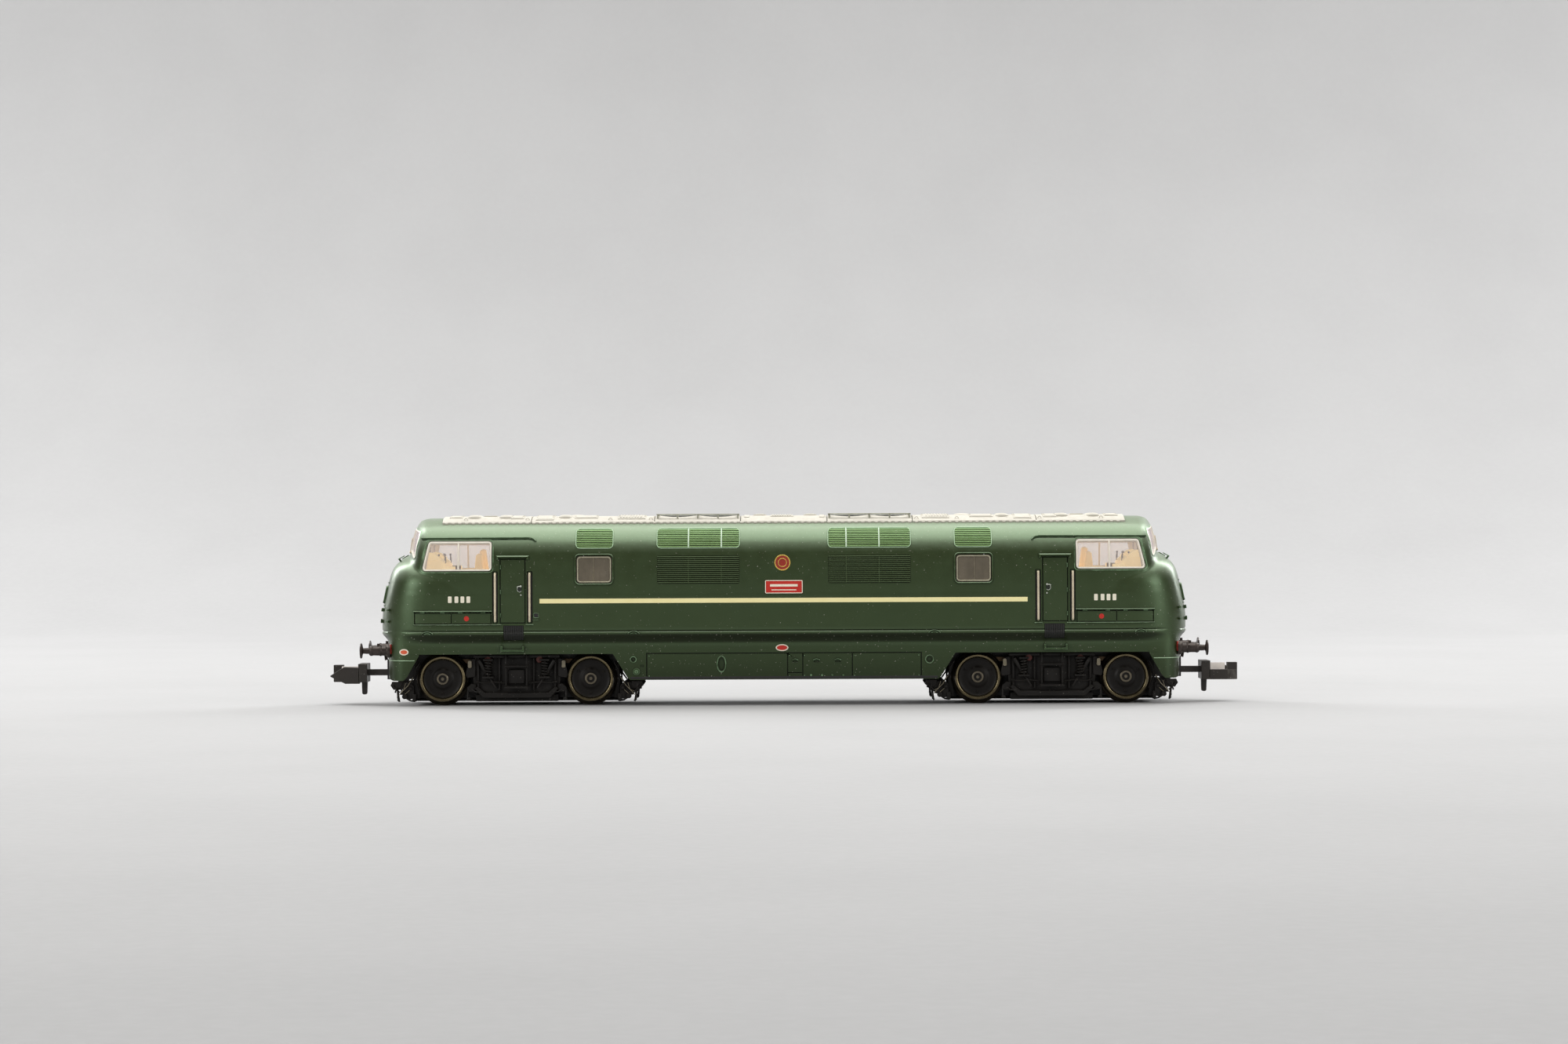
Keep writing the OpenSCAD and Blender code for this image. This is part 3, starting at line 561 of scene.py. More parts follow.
def material(name, base, second=None, rough=0.45, rvar=0.08, metal=0.0, patch=5.0, mix=0.6, grain=0.12, bump=0.0, fine=None,
             dust_and_sheen=0.0, dust_and_sheen_col=(190, 182, 172), grime_and_shade=0.0, grime_and_shade_col=(14, 12, 11), reach=0.5, edge=0.0, edge_col=(150, 150, 140),
             coat=0.0, alpha=1.0, spec=0.5, streak=None, speck=0.0, glow=0.0, tint=None, ior=1.5, coat_rough=0.12,
             top_light=0.0, top_light_col=(178, 194, 168), under=0.0, low=0.0):
    """Procedural finish. patch, grain, reach and fine are sizes in millimetres."""
    m = bpy.data.materials.new(name)
    m.use_nodes = True
    t = m.node_tree
    N, L = t.nodes, t.links
    bs = N["Principled BSDF"]
    pos = N.new("ShaderNodeTexCoord").outputs["Object"]

    def noise(size, detail=3, rough_=0.55, src=pos):
        n = N.new("ShaderNodeTexNoise")
        n.inputs["Scale"].default_value = 1000.0 / size
        n.inputs["Detail"].default_value = detail
        n.inputs["Roughness"].default_value = rough_
        L.new(src, n.inputs["Vector"])
        return n.outputs["Fac"]

    def ramp(src, a, b, lo=0.0, hi=1.0):
        n = N.new("ShaderNodeMapRange")
        n.inputs["From Min"].default_value, n.inputs["From Max"].default_value = a, b
        n.inputs["To Min"].default_value, n.inputs["To Max"].default_value = lo, hi
        L.new(src, n.inputs["Value"])
        return n.outputs["Result"]

    def mathn(op, a, b=None):
        n = N.new("ShaderNodeMath"); n.operation = op
        for k, s in enumerate((a, b)):
            if s is None: continue
            if hasattr(s, "is_linked"): L.new(s, n.inputs[k])
            else: n.inputs[k].default_value = s
        return n.outputs[0]

    def mixc(fac, a, b):
        n = N.new("ShaderNodeMix"); n.data_type = "RGBA"
        if hasattr(fac, "is_linked"): L.new(fac, n.inputs[0])
        else: n.inputs[0].default_value = fac
        for k, s in ((6, a), (7, b)):
            if hasattr(s, "is_linked"): L.new(s, n.inputs[k])
            else: n.inputs[k].default_value = s
        return n.outputs[2]

    second = second or tuple(max(0, c * 0.86) for c in base)
    c = mixc(mathn("MULTIPLY", ramp(noise(patch, 4), 0.35, 0.68), mix), col(base), col(second))
    if streak:
        mp = N.new("ShaderNodeMapping")
        mp.inputs["Scale"].default_value = streak
        L.new(pos, mp.inputs["Vector"])
        s = ramp(noise(1.2, 3, src=mp.outputs["Vector"]), 0.5, 0.75)
        c = mixc(mathn("MULTIPLY", s, 0.35), c, col(second))
    if edge or grime_and_shade:
        ao = N.new("ShaderNodeAmbientOcclusion")
        ao.samples = 4
        ao.inputs["Distance"].default_value = reach * MM
    down = None
    if top_light or under:        # painted top light on what faces up, painted shade on what faces down and on the lowest few millimetres
        face = N.new("ShaderNodeSeparateXYZ")
        L.new(N.new("ShaderNodeNewGeometry").outputs["Normal"], face.inputs[0])
        # painted top light: faces that look up are mixed towards a pale colour
        if top_light:
            c = mixc(mathn("MULTIPLY", ramp(face.outputs["Z"], 0.22, 0.8), top_light), c, col(top_light_col))
        # painted shade: faces that look down, and with low the lowest few millimetres, are mixed towards a darker copy
        # of the base colour and reflect less
        if under:
            down = mathn("MULTIPLY", ramp(face.outputs["Z"], -0.1, -0.5), under)
            if low:
                height = N.new("ShaderNodeSeparateXYZ")
                L.new(pos, height.inputs[0])
                down = mathn("MAXIMUM", down, ramp(height.outputs["Z"], 9.2 * MM, 4.6 * MM, 0.0, low))
            c = mixc(down, c, col(tuple(v * 0.45 for v in base)))
            down = mathn("SUBTRACT", 1.0, down)
    # painted shade mixed with grime: hollows and creases found by ambient occlusion get a dark colour and weaker
    # reflections
    if grime_and_shade:
        g = mathn("MULTIPLY", ramp(ao.outputs["AO"], 0.25, 0.95, 1.0, 0.0), grime_and_shade)
        c = mixc(g, c, col(grime_and_shade_col))
        level = ramp(ao.outputs["AO"], 0.3, 0.92, spec * 0.08, spec)
        if down is not None:
            level = mathn("MULTIPLY", level, down)
        L.new(level, bs.inputs["Specular IOR Level"])
    # pale edges found by inner ambient occlusion and broken up by noise: partly edge wear, partly a painted highlight
    if edge:
        ai = N.new("ShaderNodeAmbientOcclusion")
        ai.inside, ai.samples = True, 4
        ai.inputs["Distance"].default_value = 0.12 * MM
        e = mathn("MULTIPLY", ramp(ai.outputs["AO"], 0.75, 0.45), ramp(noise(0.9, 3), 0.35, 0.6))
        c = mixc(mathn("MULTIPLY", e, edge), c, col(edge_col))
    # pale patches on faces that look up: dust, and on the green paint, with its pale green colour, a painted sheen
    if dust_and_sheen:
        geo = N.new("ShaderNodeNewGeometry")
        sep = N.new("ShaderNodeSeparateXYZ")
        L.new(geo.outputs["Normal"], sep.inputs[0])
        up = ramp(sep.outputs["Z"], 0.15, 0.95)
        d = mathn("MULTIPLY", up, ramp(noise(0.7, 5, 0.7), 0.42, 0.7))
        c = mixc(mathn("MULTIPLY", d, dust_and_sheen), c, col(dust_and_sheen_col))
    if speck:
        sp = ramp(noise(0.22, 1, 0.4), 0.745, 0.77)
        c = mixc(mathn("MULTIPLY", sp, speck), c, col((205, 200, 190)))
    L.new(c, bs.inputs["Base Color"])
    r = ramp(noise(fine or 1.4, 3), 0.3, 0.7, max(0.02, rough - rvar), min(1.0, rough + rvar))
    L.new(r, bs.inputs["Roughness"])
    bs.inputs["Metallic"].default_value = metal
    bs.inputs["Specular IOR Level"].default_value = spec
    bs.inputs["IOR"].default_value = ior
    if tint:
        bs.inputs["Specular Tint"].default_value = tint + (1.0,)
    if coat:
        bs.inputs["Coat Weight"].default_value = coat
        bs.inputs["Coat Roughness"].default_value = coat_rough
    if alpha < 1:
        bs.inputs["Alpha"].default_value = alpha
    # painted glow: the base colour is also emitted, though the part is no lamp
    if glow:
        bs.inputs["Emission Color"].default_value = col(base)
        bs.inputs["Emission Strength"].default_value = glow
    if bump:
        b = N.new("ShaderNodeBump")
        b.inputs["Strength"].default_value = 1.0
        b.inputs["Distance"].default_value = bump * MM
        L.new(noise(grain, 2), b.inputs["Height"])
        L.new(b.outputs["Normal"], bs.inputs["Normal"])
    return m


M = {
    # body paint: painted top light and sheen on upward faces, painted shade underneath, low down and in hollows
    "green": material("green_paint", (35, 40, 15), (31, 36, 14), rough=0.36, rvar=0.05, patch=9, grain=0.16, bump=0.0016, dust_and_sheen=0.12,
                      dust_and_sheen_col=(140, 172, 146), grime_and_shade=0.55, reach=0.3, speck=0.4, spec=0.5, ior=1.74, tint=(0.62, 1.0, 0.56),
                      top_light=0.36, under=0.7, low=0.42, coat=0.25, coat_rough=0.26),
    # raised mouldings: the pale green edges are a painted highlight, with the same painted light and shade as the body
    # paint
    "raised": material("green_raised", (40, 48, 20), (35, 42, 18), rough=0.36, rvar=0.05, patch=9, grain=0.16, bump=0.0016, dust_and_sheen=0.12,
                       dust_and_sheen_col=(140, 172, 146), grime_and_shade=0.5, reach=0.25, speck=0.4, spec=0.5, ior=1.8, tint=(0.6, 1.0, 0.6), edge=0.6, edge_col=(140, 172, 136),
                       top_light=0.36, under=0.4),
    # louvres: the upper slats get a pale lit copy of the body green, the lower slats a dark shaded copy
    "louvre": material("louvre_lit_green", (122, 154, 92), (104, 134, 78), rough=0.4, rvar=0.06, patch=2, grain=0.1, bump=0.0012, spec=0.5, ior=1.9,
                       tint=(0.7, 1.0, 0.62), speck=0.5),
    "louvre_low": material("louvre_shadow_green", (47, 56, 29), (41, 49, 26), rough=0.42, rvar=0.06, patch=2, grain=0.1, bump=0.0012, spec=0.5, ior=1.8,
                           tint=(0.72, 1.0, 0.6)),
    # pale green for grille edging and valance lines: a painted highlight
    "frame_green": material("grille_edging_highlight", (174, 202, 168), (150, 180, 144), rough=0.4, patch=1, grain=0.1, bump=0.001),
    "roof": material("roof_grey", (188, 184, 173), (178, 174, 163), rough=0.58, patch=4, grain=0.14, bump=0.004, dust_and_sheen=0.2, dust_and_sheen_col=(236, 234, 226),
                     grime_and_shade=0.16, grime_and_shade_col=(120, 116, 106), reach=0.2, speck=0.0),
    "cream": material("cream_line", (246, 236, 178), (240, 228, 164), rough=0.5, patch=2, grain=0.1, bump=0.0015),
    "white": material("cream_white", (236, 230, 212), (222, 214, 192), rough=0.5, patch=1.5, grain=0.1, bump=0.0015),
    "red": material("plate_red", (196, 40, 26), (176, 32, 22), rough=0.42, patch=1.5, grain=0.1, bump=0.0015, grime_and_shade=0.2, reach=0.15),
    "gold": material("gilt", (206, 176, 84), (170, 140, 60), rough=0.38, metal=0.35, patch=0.8, grain=0.08, bump=0.002),
    "black": material("black_plastic", (24, 21, 18), (17, 15, 13), spec=0.3, rough=0.55, rvar=0.12, patch=1.6, grain=0.09, bump=0.004, dust_and_sheen=0.22, grime_and_shade=0.3, reach=0.5, grime_and_shade_col=(10, 9, 8),
                      dust_and_sheen_col=(112, 104, 96), edge=0.18, edge_col=(92, 88, 82), speck=0.25),
    "coupler": material("coupler_plastic", (41, 35, 30), (31, 27, 23), rough=0.46, rvar=0.1, patch=1.4, grain=0.1, bump=0.004, dust_and_sheen=0.2,
                        dust_and_sheen_col=(120, 112, 104), edge=0.3, edge_col=(120, 116, 108), speck=0.3),
    "rim": material("blackened_rim", (120, 109, 83), (86, 78, 59), rough=0.26, rvar=0.08, metal=0.92, patch=0.8, grain=0.06, bump=0.0012,
                    streak=(1, 1, 1), grime_and_shade=0.3, reach=0.2),
    "flange": material("flange_dark", (58, 52, 42), (42, 38, 32), rough=0.38, rvar=0.1, metal=0.8, patch=0.8, grain=0.06, bump=0.0012),
    # window trim glows faintly: painted glow
    "trim": material("window_trim", (214, 204, 196), (198, 188, 180), rough=0.4, patch=1.5, grain=0.2, bump=0.002, glow=0.12),
    "wheel": material("wheel_black", (21, 18, 15), (16, 14, 12), spec=0.22, rough=0.5, rvar=0.1, patch=1.2, grain=0.1, bump=0.003, dust_and_sheen=0.1,
                      edge=0.25, edge_col=(120, 112, 92)),
    "steel": material("steel", (160, 158, 154), (128, 124, 118), rough=0.3, rvar=0.1, metal=1.0, patch=0.8, grain=0.07, bump=0.001),
    "brass": material("brass", (196, 160, 84), (160, 124, 60), rough=0.3, rvar=0.1, metal=1.0, patch=0.8, grain=0.08, bump=0.001),
    "glass": material("clear_glazing", (240, 228, 224), (228, 218, 214), rough=0.12, rvar=0.04, patch=3, alpha=0.2, grain=2.5, bump=0.001, spec=0.7),
    # windscreen glazing glows faintly: painted glow
    "screen": material("windscreen_glazing", (246, 232, 234), (234, 220, 222), rough=0.14, rvar=0.04, patch=3, alpha=0.38, grain=2.5, bump=0.001, spec=0.7, glow=0.1),
    # painted highlight: a pale, faintly glowing face standing for the lit top of the black hook
    "pad": material("coupler_pad", (238, 230, 222), (212, 204, 196), rough=0.42, patch=0.7, grain=0.1, bump=0.002, glow=0.22),
    "glass_rim": material("glazing_rim", (232, 226, 214), (214, 208, 196), rough=0.34, rvar=0.06, patch=1, grain=0.2, bump=0.002, spec=0.6),
    "smoke": material("smoky_glazing", (106, 98, 84), (80, 74, 63), rough=0.22, rvar=0.08, patch=2.5, grain=0.5, bump=0.002, dust_and_sheen=0.0, spec=0.6, streak=(3, 1, .4)),
    # cab interior and seats: painted glow, and painted shade in their hollows
    "interior": material("cab_cream", (240, 214, 156), (228, 198, 136), rough=0.55, patch=1.6, grain=0.12, bump=0.004, grime_and_shade=0.25, reach=0.3, grime_and_shade_col=(150, 116, 66), glow=0.48),
    "dark": material("dark_detail", (30, 30, 28), (20, 20, 19), rough=0.6, patch=1.2, grain=0.1, bump=0.003),
    "wire": material("handrail_wire", (216, 203, 178), (186, 172, 150), rough=0.36, metal=0.25, patch=0.8, grain=0.07, bump=0.001),
    "grille": material("etched_frame", (176, 176, 160), (140, 140, 126), rough=0.4, metal=0.5, patch=0.8, grain=0.08, bump=0.002),
    "grille_dark": material("fan_guard", (150, 152, 146), (112, 114, 108), rough=0.45, metal=0.4, patch=0.8, grain=0.08, bump=0.002),
    "frame_metal": material("window_frame", (206, 200, 176), (170, 164, 142), rough=0.32, metal=0.5, patch=0.6, grain=0.07, bump=0.001),
    "blind": material("headcode_blind", (208, 206, 198), (190, 188, 180), rough=0.35, patch=1.5, grain=1.5, bump=0.001, coat=0.5),
    "seat": material("seat_moulding", (232, 196, 128), (212, 174, 104), rough=0.55, patch=1.2, grain=0.1, bump=0.004, grime_and_shade=0.25, reach=0.3, grime_and_shade_col=(130, 94, 48), glow=0.4),
    "buffer": material("buffer_metal", (66, 58, 54), (48, 43, 40), rough=0.36, rvar=0.1, metal=0.6, patch=0.9, grain=0.07, bump=0.002, dust_and_sheen=0.2, dust_and_sheen_col=(130, 120, 112), edge=0.35, edge_col=(150, 142, 134)),
    # pale pieces: wear as well as painted glints
    "worn_and_glint": material("worn_glint_pad", (140, 132, 112), (96, 90, 76), rough=0.45, metal=0.3, patch=0.5, grain=0.08, bump=0.003),
    "hub": material("hub_ring", (120, 112, 96), (84, 78, 68), rough=0.34, metal=0.7, patch=0.5, grain=0.06, bump=0.001),
    # near-white bars: rubbed paint and a painted glint
    "bright": material("rubbed_glinting_bars", (206, 222, 204), (168, 190, 168), rough=0.4, patch=0.8, grain=0.08, bump=0.002),
    "handle": material("door_handle", (206, 210, 200), (170, 176, 166), rough=0.3, metal=0.4, patch=0.6, grain=0.08, bump=0.002),
    "orange": material("plate_orange", (214, 92, 52), (196, 76, 44), rough=0.45, patch=1.0, grain=0.1, bump=0.001),
    "red_dark": material("plain_roundel", (150, 44, 30), (120, 34, 26), rough=0.45, patch=1.0, grain=0.1, bump=0.001),
    "beam": material("beam_red", (170, 48, 36), (140, 36, 28), rough=0.5, patch=1.5, grain=0.12, bump=0.003, grime_and_shade=0.4, reach=0.4),
    "rust": material("dull_red", (92, 44, 38), (66, 34, 30), rough=0.6, patch=0.8, grain=0.1, bump=0.003, grime_and_shade=0.4, reach=0.4),
    # painted shade: a dark green standing for the shade in the door handle wells
    "grey_dark": material("shaded_green", (26, 34, 24), (20, 26, 19), rough=0.7, patch=1.2, grain=0.1, bump=0.003),
}


# ---------------------------------------------------------------- body shell
def zlevels():
    z = [7.54, 8.0, 8.5, 9.0, 9.2, 9.36, 9.52, 9.68, 9.84, 9.98, 10.1, 10.2, 10.3, 10.4, 10.5, 10.6, 10.68, 10.74, 10.79, 10.82, 10.85, 10.9, 10.94,
         10.98, 11.04, 11.4, 11.8, 12.3, 12.9, 13.5, 14.2, 15.0]
    return z


shell = body_solid("body_shell_skin", 0.42, zlevels() + [16.0], 22, 26)
inner = body_solid("inner", 0.9, [6.5, 9.0, 9.4, 9.8, 10.2, 10.6, 11.1, 12.5, 14.0, 16.0], 12, 16, inset=0.85)
boolean(shell, inner, "DIFFERENCE")

CAB_WIN = rounded([(52.62, 19.6), (42.3, 19.6), (42.3, 24.0), (51.55, 24.0)], [.5, .55, .55, .55])
SIDE_WIN = rounded(rect(24.9, 30.1, 17.8, 21.8), .5)
SCREEN = rounded([(0.45, 22.45), (4.0, 22.1), (6.95, 21.25), (6.35, 24.5), (5.5, 25.45), (0.45, 25.95)], [.35, .2, .45, .5, .5, .35])
UP_GRILLES = [(6.45, 18.35), (24.8, 30.1)]
LOW_GRILLES = [(6.45, 18.35)]


def through(b, poly, lo, hi, axis):
    """A cutter on each side and each end."""
    for sx in (1, -1):
        if axis == "y":
            b.prism([(p[0] * sx, p[1]) for p in poly], lo, hi, "y")
        else:
            for sy in (1, -1):
                b.prism([(p[0] * sy, p[1]) for p in poly], lo * sx, hi * sx, "x")


def near_far(build, made, fn):
    """Both sides alike when each is looked at from its own side. x is as seen from the -y side."""
    pts = [fn(*p) for p in made.v]
    build.add([(p[0], -p[1], p[2]) for p in pts], made.f)
    build.add([(-p[0], p[1], p[2]) for p in pts], made.f)
    return build


def sill_point(a, d, b):
    return (a, 8.0 + d, b)


def sill_arc(a, d, b):
    """A point standing d proud of the end of the sill, at azimuth a in degrees about x=44."""
    t = math.radians(a)
    r = float(sill_r(t)) + d
    return (44 + r * math.cos(t), r * math.sin(t), b)


# ---------------------------------------------------------------- tank sides between the bogies
def lattice(xs, lo, hi, y0, y1, rows=4):
    """A wall between the heights lo(x) and hi, faced with small cells so that it can be cut cleanly."""
    b, v, f = Build(), [], []
    R = rows + 1
    for x in xs:
        for y in (y0, y1):
            v += [(x, y, lo(x) + (hi - lo(x)) * r / rows) for r in range(R)]
    for i in range(len(xs) - 1):
        a, c = i * 2 * R, (i + 1) * 2 * R
        for r in range(rows):
            f += [(a + r, c + r, c + r + 1, a + r + 1), (a + R + r, a + R + r + 1, c + R + r + 1, c + R + r)]
        f += [(a, a + R, c + R, c), (a + rows, c + rows, c + R + rows, a + R + rows)]
    e = (len(xs) - 1) * 2 * R
    for r in range(rows):
        f += [(r, r + 1, R + r + 1, R + r), (e + r, e + R + r, e + R + r + 1, e + r + 1)]
    return b.add(v, f)


TANK = [(-25.1, 7.9), (-22.75, 4.1), (-22.35, 3.75), (22.35, 3.75), (22.75, 4.1), (25.1, 7.9)]
tank = Build()
xs = [-24.95, -24.2, -23.4, -22.75, -22.5, -22.35] + list(np.arange(-21.6, 21.61, 1.44)) + [22.35, 22.5, 22.75, 23.4, 24.2, 24.95]
near_far(tank, lattice(xs, lambda x: float(np.interp(x, [p[0] for p in TANK], [p[1] for p in TANK])), 7.9, 7.15, 8.0), lambda x, y, z: (x, y, z))
tank = tank.obj("tank_sides", None)
boolean(shell, tank, "UNION")

# ---------------------------------------------------------------- valances round the buffers
ph = np.radians(np.linspace(66, 15, 70))
r8 = sill_r(ph)
loop = [(44 + (r) * math.cos(p), (r) * math.sin(p)) for p, r in zip(ph, r8)] + [(44 + (r - .85) * math.cos(p), (r - .85) * math.sin(p)) for p, r in zip(ph[::-1], r8[::-1])]
V = Build()
for sx in (1, -1):
    for sy in (1, -1):
        V.prism([(x * sx, y * sy) for x, y in loop], 3.2, 7.75, "z")
val = V.obj("valances", None)
K = Build()
for sx in (1, -1):
    K.prism([(x * sx, z) for x, z in rounded([(52.7, 8.2), (53.05, 7.3), (54.75, 4.3), (55.3, 3.72), (57.0, 3.72), (59.2, 4.9), (59.2, 8.2)], [.1, .3, .5, .3, .9, .9, .1])], -7.95, 7.95, "y")
boolean(val, K.obj("cut", None), "INTERSECT")
K = Build()
for sx in (1, -1):
    K.box(50 * sx, 60 * sx, -4.68, 4.68, 3, 7.6)
    for sy in (1, -1):
        K.lathe([(0.72, 54), (0.72, 60)], (0, 5.88 * sy, 8.05), "x", 24, sx)
boolean(val, K.obj("cut", None), "DIFFERENCE")
boolean(shell, val, "UNION")

cut = Build()
through(cut, CAB_WIN, -12, 12, "y")
through(cut, SIDE_WIN, -12, 12, "y")
through(cut, SCREEN, 50.5, 60, "x")
for sy in (1, -1):
    for sx in (1, -1):
        cut.prism([(p[0] * sy, p[1]) for p in rounded(rect(0.55, 3.25, 15.15, 17.15), .22)], 56.5 * sx, 60 * sx, "x")
for sx in (1, -1):
    for sy in (1, -1):
        cut.lathe([(0.7, 54), (0.7, 60)], (0, 5.88 * sy, 8.05), "x", 28, sx)
boolean(shell, cut.obj("cut", None), "DIFFERENCE")

# engraved lines and shallow recesses
cut = Build()
G = Build().sweep([(37.5, 12.1), (37.5, 21.35), (41.1, 21.35), (41.1, 12.1)], 0.17, -0.3, 0.4, step=0.5)          # door
G.sweep([(42.45, 11.98), (53.55, 11.98), (53.55, 13.55), (42.45, 13.55)], 0.15, -0.28, 0.4, step=0.5)              # hatch
G.sweep([(48.2, 11.98), (48.2, 13.55)], 0.14, -0.28, 0.4, closed=False, step=0.5)
G.sweep([(52.5, 24.17), (44, 24.19), (37.1, 24.21), (36.5, 24.13), (36.1, 23.95)], 0.14, -0.28, 0.4, closed=False, step=0.5)   # shadow under the gutter
G.sweep([(42.3, 13.62), (53.7, 13.62)], 0.12, -0.26, 0.4, closed=False, step=0.5)
spread(cut, G, side_point)
G = Build()
for a, b in UP_GRILLES:
    G.plate(dense(rounded(rect(a, b, 22.9, 25.65), .55), .5, True), -0.2, 0.5, 5)
for a, b in LOW_GRILLES:
    G.plate(dense(rounded(rect(a, b, 17.7, 21.75), .25), .5, True), -0.2, 0.5, 5)
G.plate(rounded(rect(36.42, 37.24, 12.05, 19.6), .2), -0.34, 0.5, 3)     # slots behind the handrails
G.plate(rounded(rect(41.45, 42.24, 12.05, 19.6), .2), -0.34, 0.5, 3)
G.plate(dense(rect(37.72, 40.68, 9.56, 11.75), .4, True), -0.22, 1.6, 3)    # footstep recess
spread(cut, G, side_point)
boolean(shell, cut.obj("cut", None), "DIFFERENCE")
cut = Build()
G = Build()
G.sweep([(-19.95, 3.0), (-19.95, 7.58), (19.9, 7.58), (19.9, 3.0)], 0.17, -0.32, 0.3, closed=False)
for x in (0.5, 2.7, 9.9):
    G.sweep([(x, 3.0), (x, 7.58)], 0.15, -0.3, 0.3, closed=False)
G.sweep([(0.5, 4.72), (2.7, 4.72)], 0.14, -0.3, 0.3, closed=False)
G.plate(oval(-9.1, 6.0, 0.95, 1.9), -0.32, 0.3)
G.plate(oval(21.1, 6.6, 0.82, 0.82), -0.4, 0.3)
G.plate(oval(-21.9, 6.72, 0.62, 0.62), -0.3, 0.3)
G.plate(rounded(rect(-20.9, -20.35, 5.6, 5.95), .1), -0.12, 0.3)
for x, w in ((1.6, .75), (4.7, .8), (7.8, .8)):
    G.plate(rounded(rect(x - w / 2, x + w / 2, 6.2, 6.5), .1), -0.16, 0.3)
near_far(cut, G, sill_point)
boolean(shell, cut.obj("cut", None), "DIFFERENCE")
tidy(shell, 30)
shell.data.materials.clear()
shell.data.materials.append(M["green"])
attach(shell, ROOT)
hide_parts("body_shell")


def done(b, name, mat, body=ROOT, node=(), slot=None, **kw):
    o = b.obj(name, M[mat], **kw)
    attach(o, body)
    for n in ([node] if isinstance(node, str) else node):
        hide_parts(n)
    return o


# ---------------------------------------------------------------- small mouldings on the body
F = Build()
G = Build()
G.sweep([(52.6, 24.32), (44, 24.34), (37.1, 24.36), (36.55, 24.28), (36.2, 24.1), (35.98, 23.86)], 0.24, -0.12, 0.28, closed=False, chamfer=0.45, step=.5)   # gutter
G.sweep([(37.15, 21.3), (37.15, 21.62), (41.45, 21.62), (41.45, 21.3)], 0.42, -0.1, 0.42, closed=False, chamfer=0.42)     # rain strip over the door
G.sweep([(42.3, 13.79), (53.7, 13.79)], 0.23, -0.1, 0.26, closed=False, chamfer=0.45, step=.5)                        # ridge over the hatch
G.sweep([(36.3, 11.84), (37.4, 11.84)], 0.17, -0.1, 0.18, closed=False, chamfer=0.45)
G.sweep([(40.95, 11.84), (53.7, 11.84)], 0.17, -0.1, 0.18, closed=False, chamfer=0.45, step=.5)
for x0 in (51.7, 21.8):
    G.sweep([(x0 + .82 * math.cos(t), 10.42 + .42 * math.sin(t)) for t in np.linspace(math.pi * .98, math.pi * .02, 15)], 0.14, -0.1, 0.24, closed=False, chamfer=.45)
    G.sweep([(x0 + .4 * math.cos(t), 10.44 + .18 * math.sin(t)) for t in np.linspace(math.pi * .98, math.pi * .02, 9)], 0.09, -0.1, 0.15, closed=False)
G.sweep(rounded(rect(24.76, 30.24, 17.66, 21.96), .6), 0.22, -0.08, 0.22, chamfer=0.42)                               # window moulding
G.sweep(rounded([(52.9, 19.42), (42.12, 19.42), (42.12, 24.16), (51.85, 24.16)], [.6, .6, .6, .6]), 0.16, -0.1, 0.05, chamfer=.3, step=.5)
spread(F, G, side_point)
G = Build()                                   # hinge and lock knuckles on the hatch and door
for x in (43.6, 46.9, 49.5, 52.4):
    G.sweep([(x - .3, 13.62), (x + .3, 13.62)], 0.14, -0.05, 0.12, closed=False)
for z in (13.2, 16.6, 20.2):
    G.sweep([(41.05, z - .28), (41.05, z + .28)], 0.13, -0.05, 0.12, closed=False)
spread(F, G, side_point)
G = Build()
G.sweep(rounded(rect(-36.25, -35.55, 12.85, 13.5), .12), 0.09, -0.05, 0.08, chamfer=.3)
G.sweep([(-36.4, 12.55), (-35.4, 12.55)], 0.1, -0.05, 0.12, closed=False)
near_far(F, G, side_point)
G = Build()
G.sweep(oval(-9.1, 6.0, 1.25, 2.3), 0.16, -0.05, 0.09, chamfer=.3)
G.sweep(oval(21.1, 6.6, 1.15, 1.15), 0.13, -0.05, 0.08, chamfer=.3)
G.sweep(oval(-21.9, 6.72, .85, .85), 0.1, -0.05, 0.07)
G.plate(oval(-21.45, 4.95, 1.0, 1.0), -0.05, 0.14)
G.plate(oval(-21.45, 4.95, .5, .5), 0.1, 0.24)
for x, w in ((1.6, .85), (4.7, .95), (7.8, .95)):
    G.sweep([(x - w / 2, 6.56), (x, 6.72), (x + w / 2, 6.56)], 0.12, -0.05, 0.2, closed=False)
for x in (3.9, 5.5, 7.0, 8.6):
    G.plate(oval(x, 4.35, .3, .3), -0.05, 0.1)
for x in (-19.6, .8, 2.95, 10.2, 19.55):
    for z in (4.3, 7.2):
        G.plate(oval(x, z, .16, .16, 10), -0.02, 0.05)
near_far(F, G, sill_point)
for sx in (1, -1):
    for sy in (1, -1):
        # green hanger over the bogie step, with its turned up ends
        F.prism([(x * sx, z) for x, z in rounded([(37.72, 8.75), (37.72, 7.95), (41.1, 7.95), (41.1, 8.75), (40.85, 8.75), (40.85, 8.2), (37.97, 8.2), (37.97, 8.75)], .08, 3)], 7.9 * sy, 8.72 * sy, "y")
        # lamp irons and knobs on the nose
for z, y, w, h in ((13.95, 3.6, .2, .5), (12.3, 3.6, .2, .5), (12.3, 0.0, .2, .5), (13.95, 6.1, .16, .3), (12.3, 6.1, .16, .3)):
    G = Build().box(y - w, y + w, -0.1, 0.34, z - h / 2, z + h / 2)
    spread(F, G, nose_point, sy=(1, -1) if y else (1,))
for y in (3.0,):
    G = Build().box(y - .12, y + .12, -0.05, 0.55, 20.95, 21.08).box(y - .12, y + .12, .44, .55, 20.95, 21.4)
    spread(F, G, nose_point)
G = Build()
for a, b in ((0.4, 3.4),):
    G.sweep(rounded(rect(a, b, 15.0, 17.32), .28), 0.3, -0.12, 0.28, chamfer=.34, step=.4)
spread(F, G, nose_point)
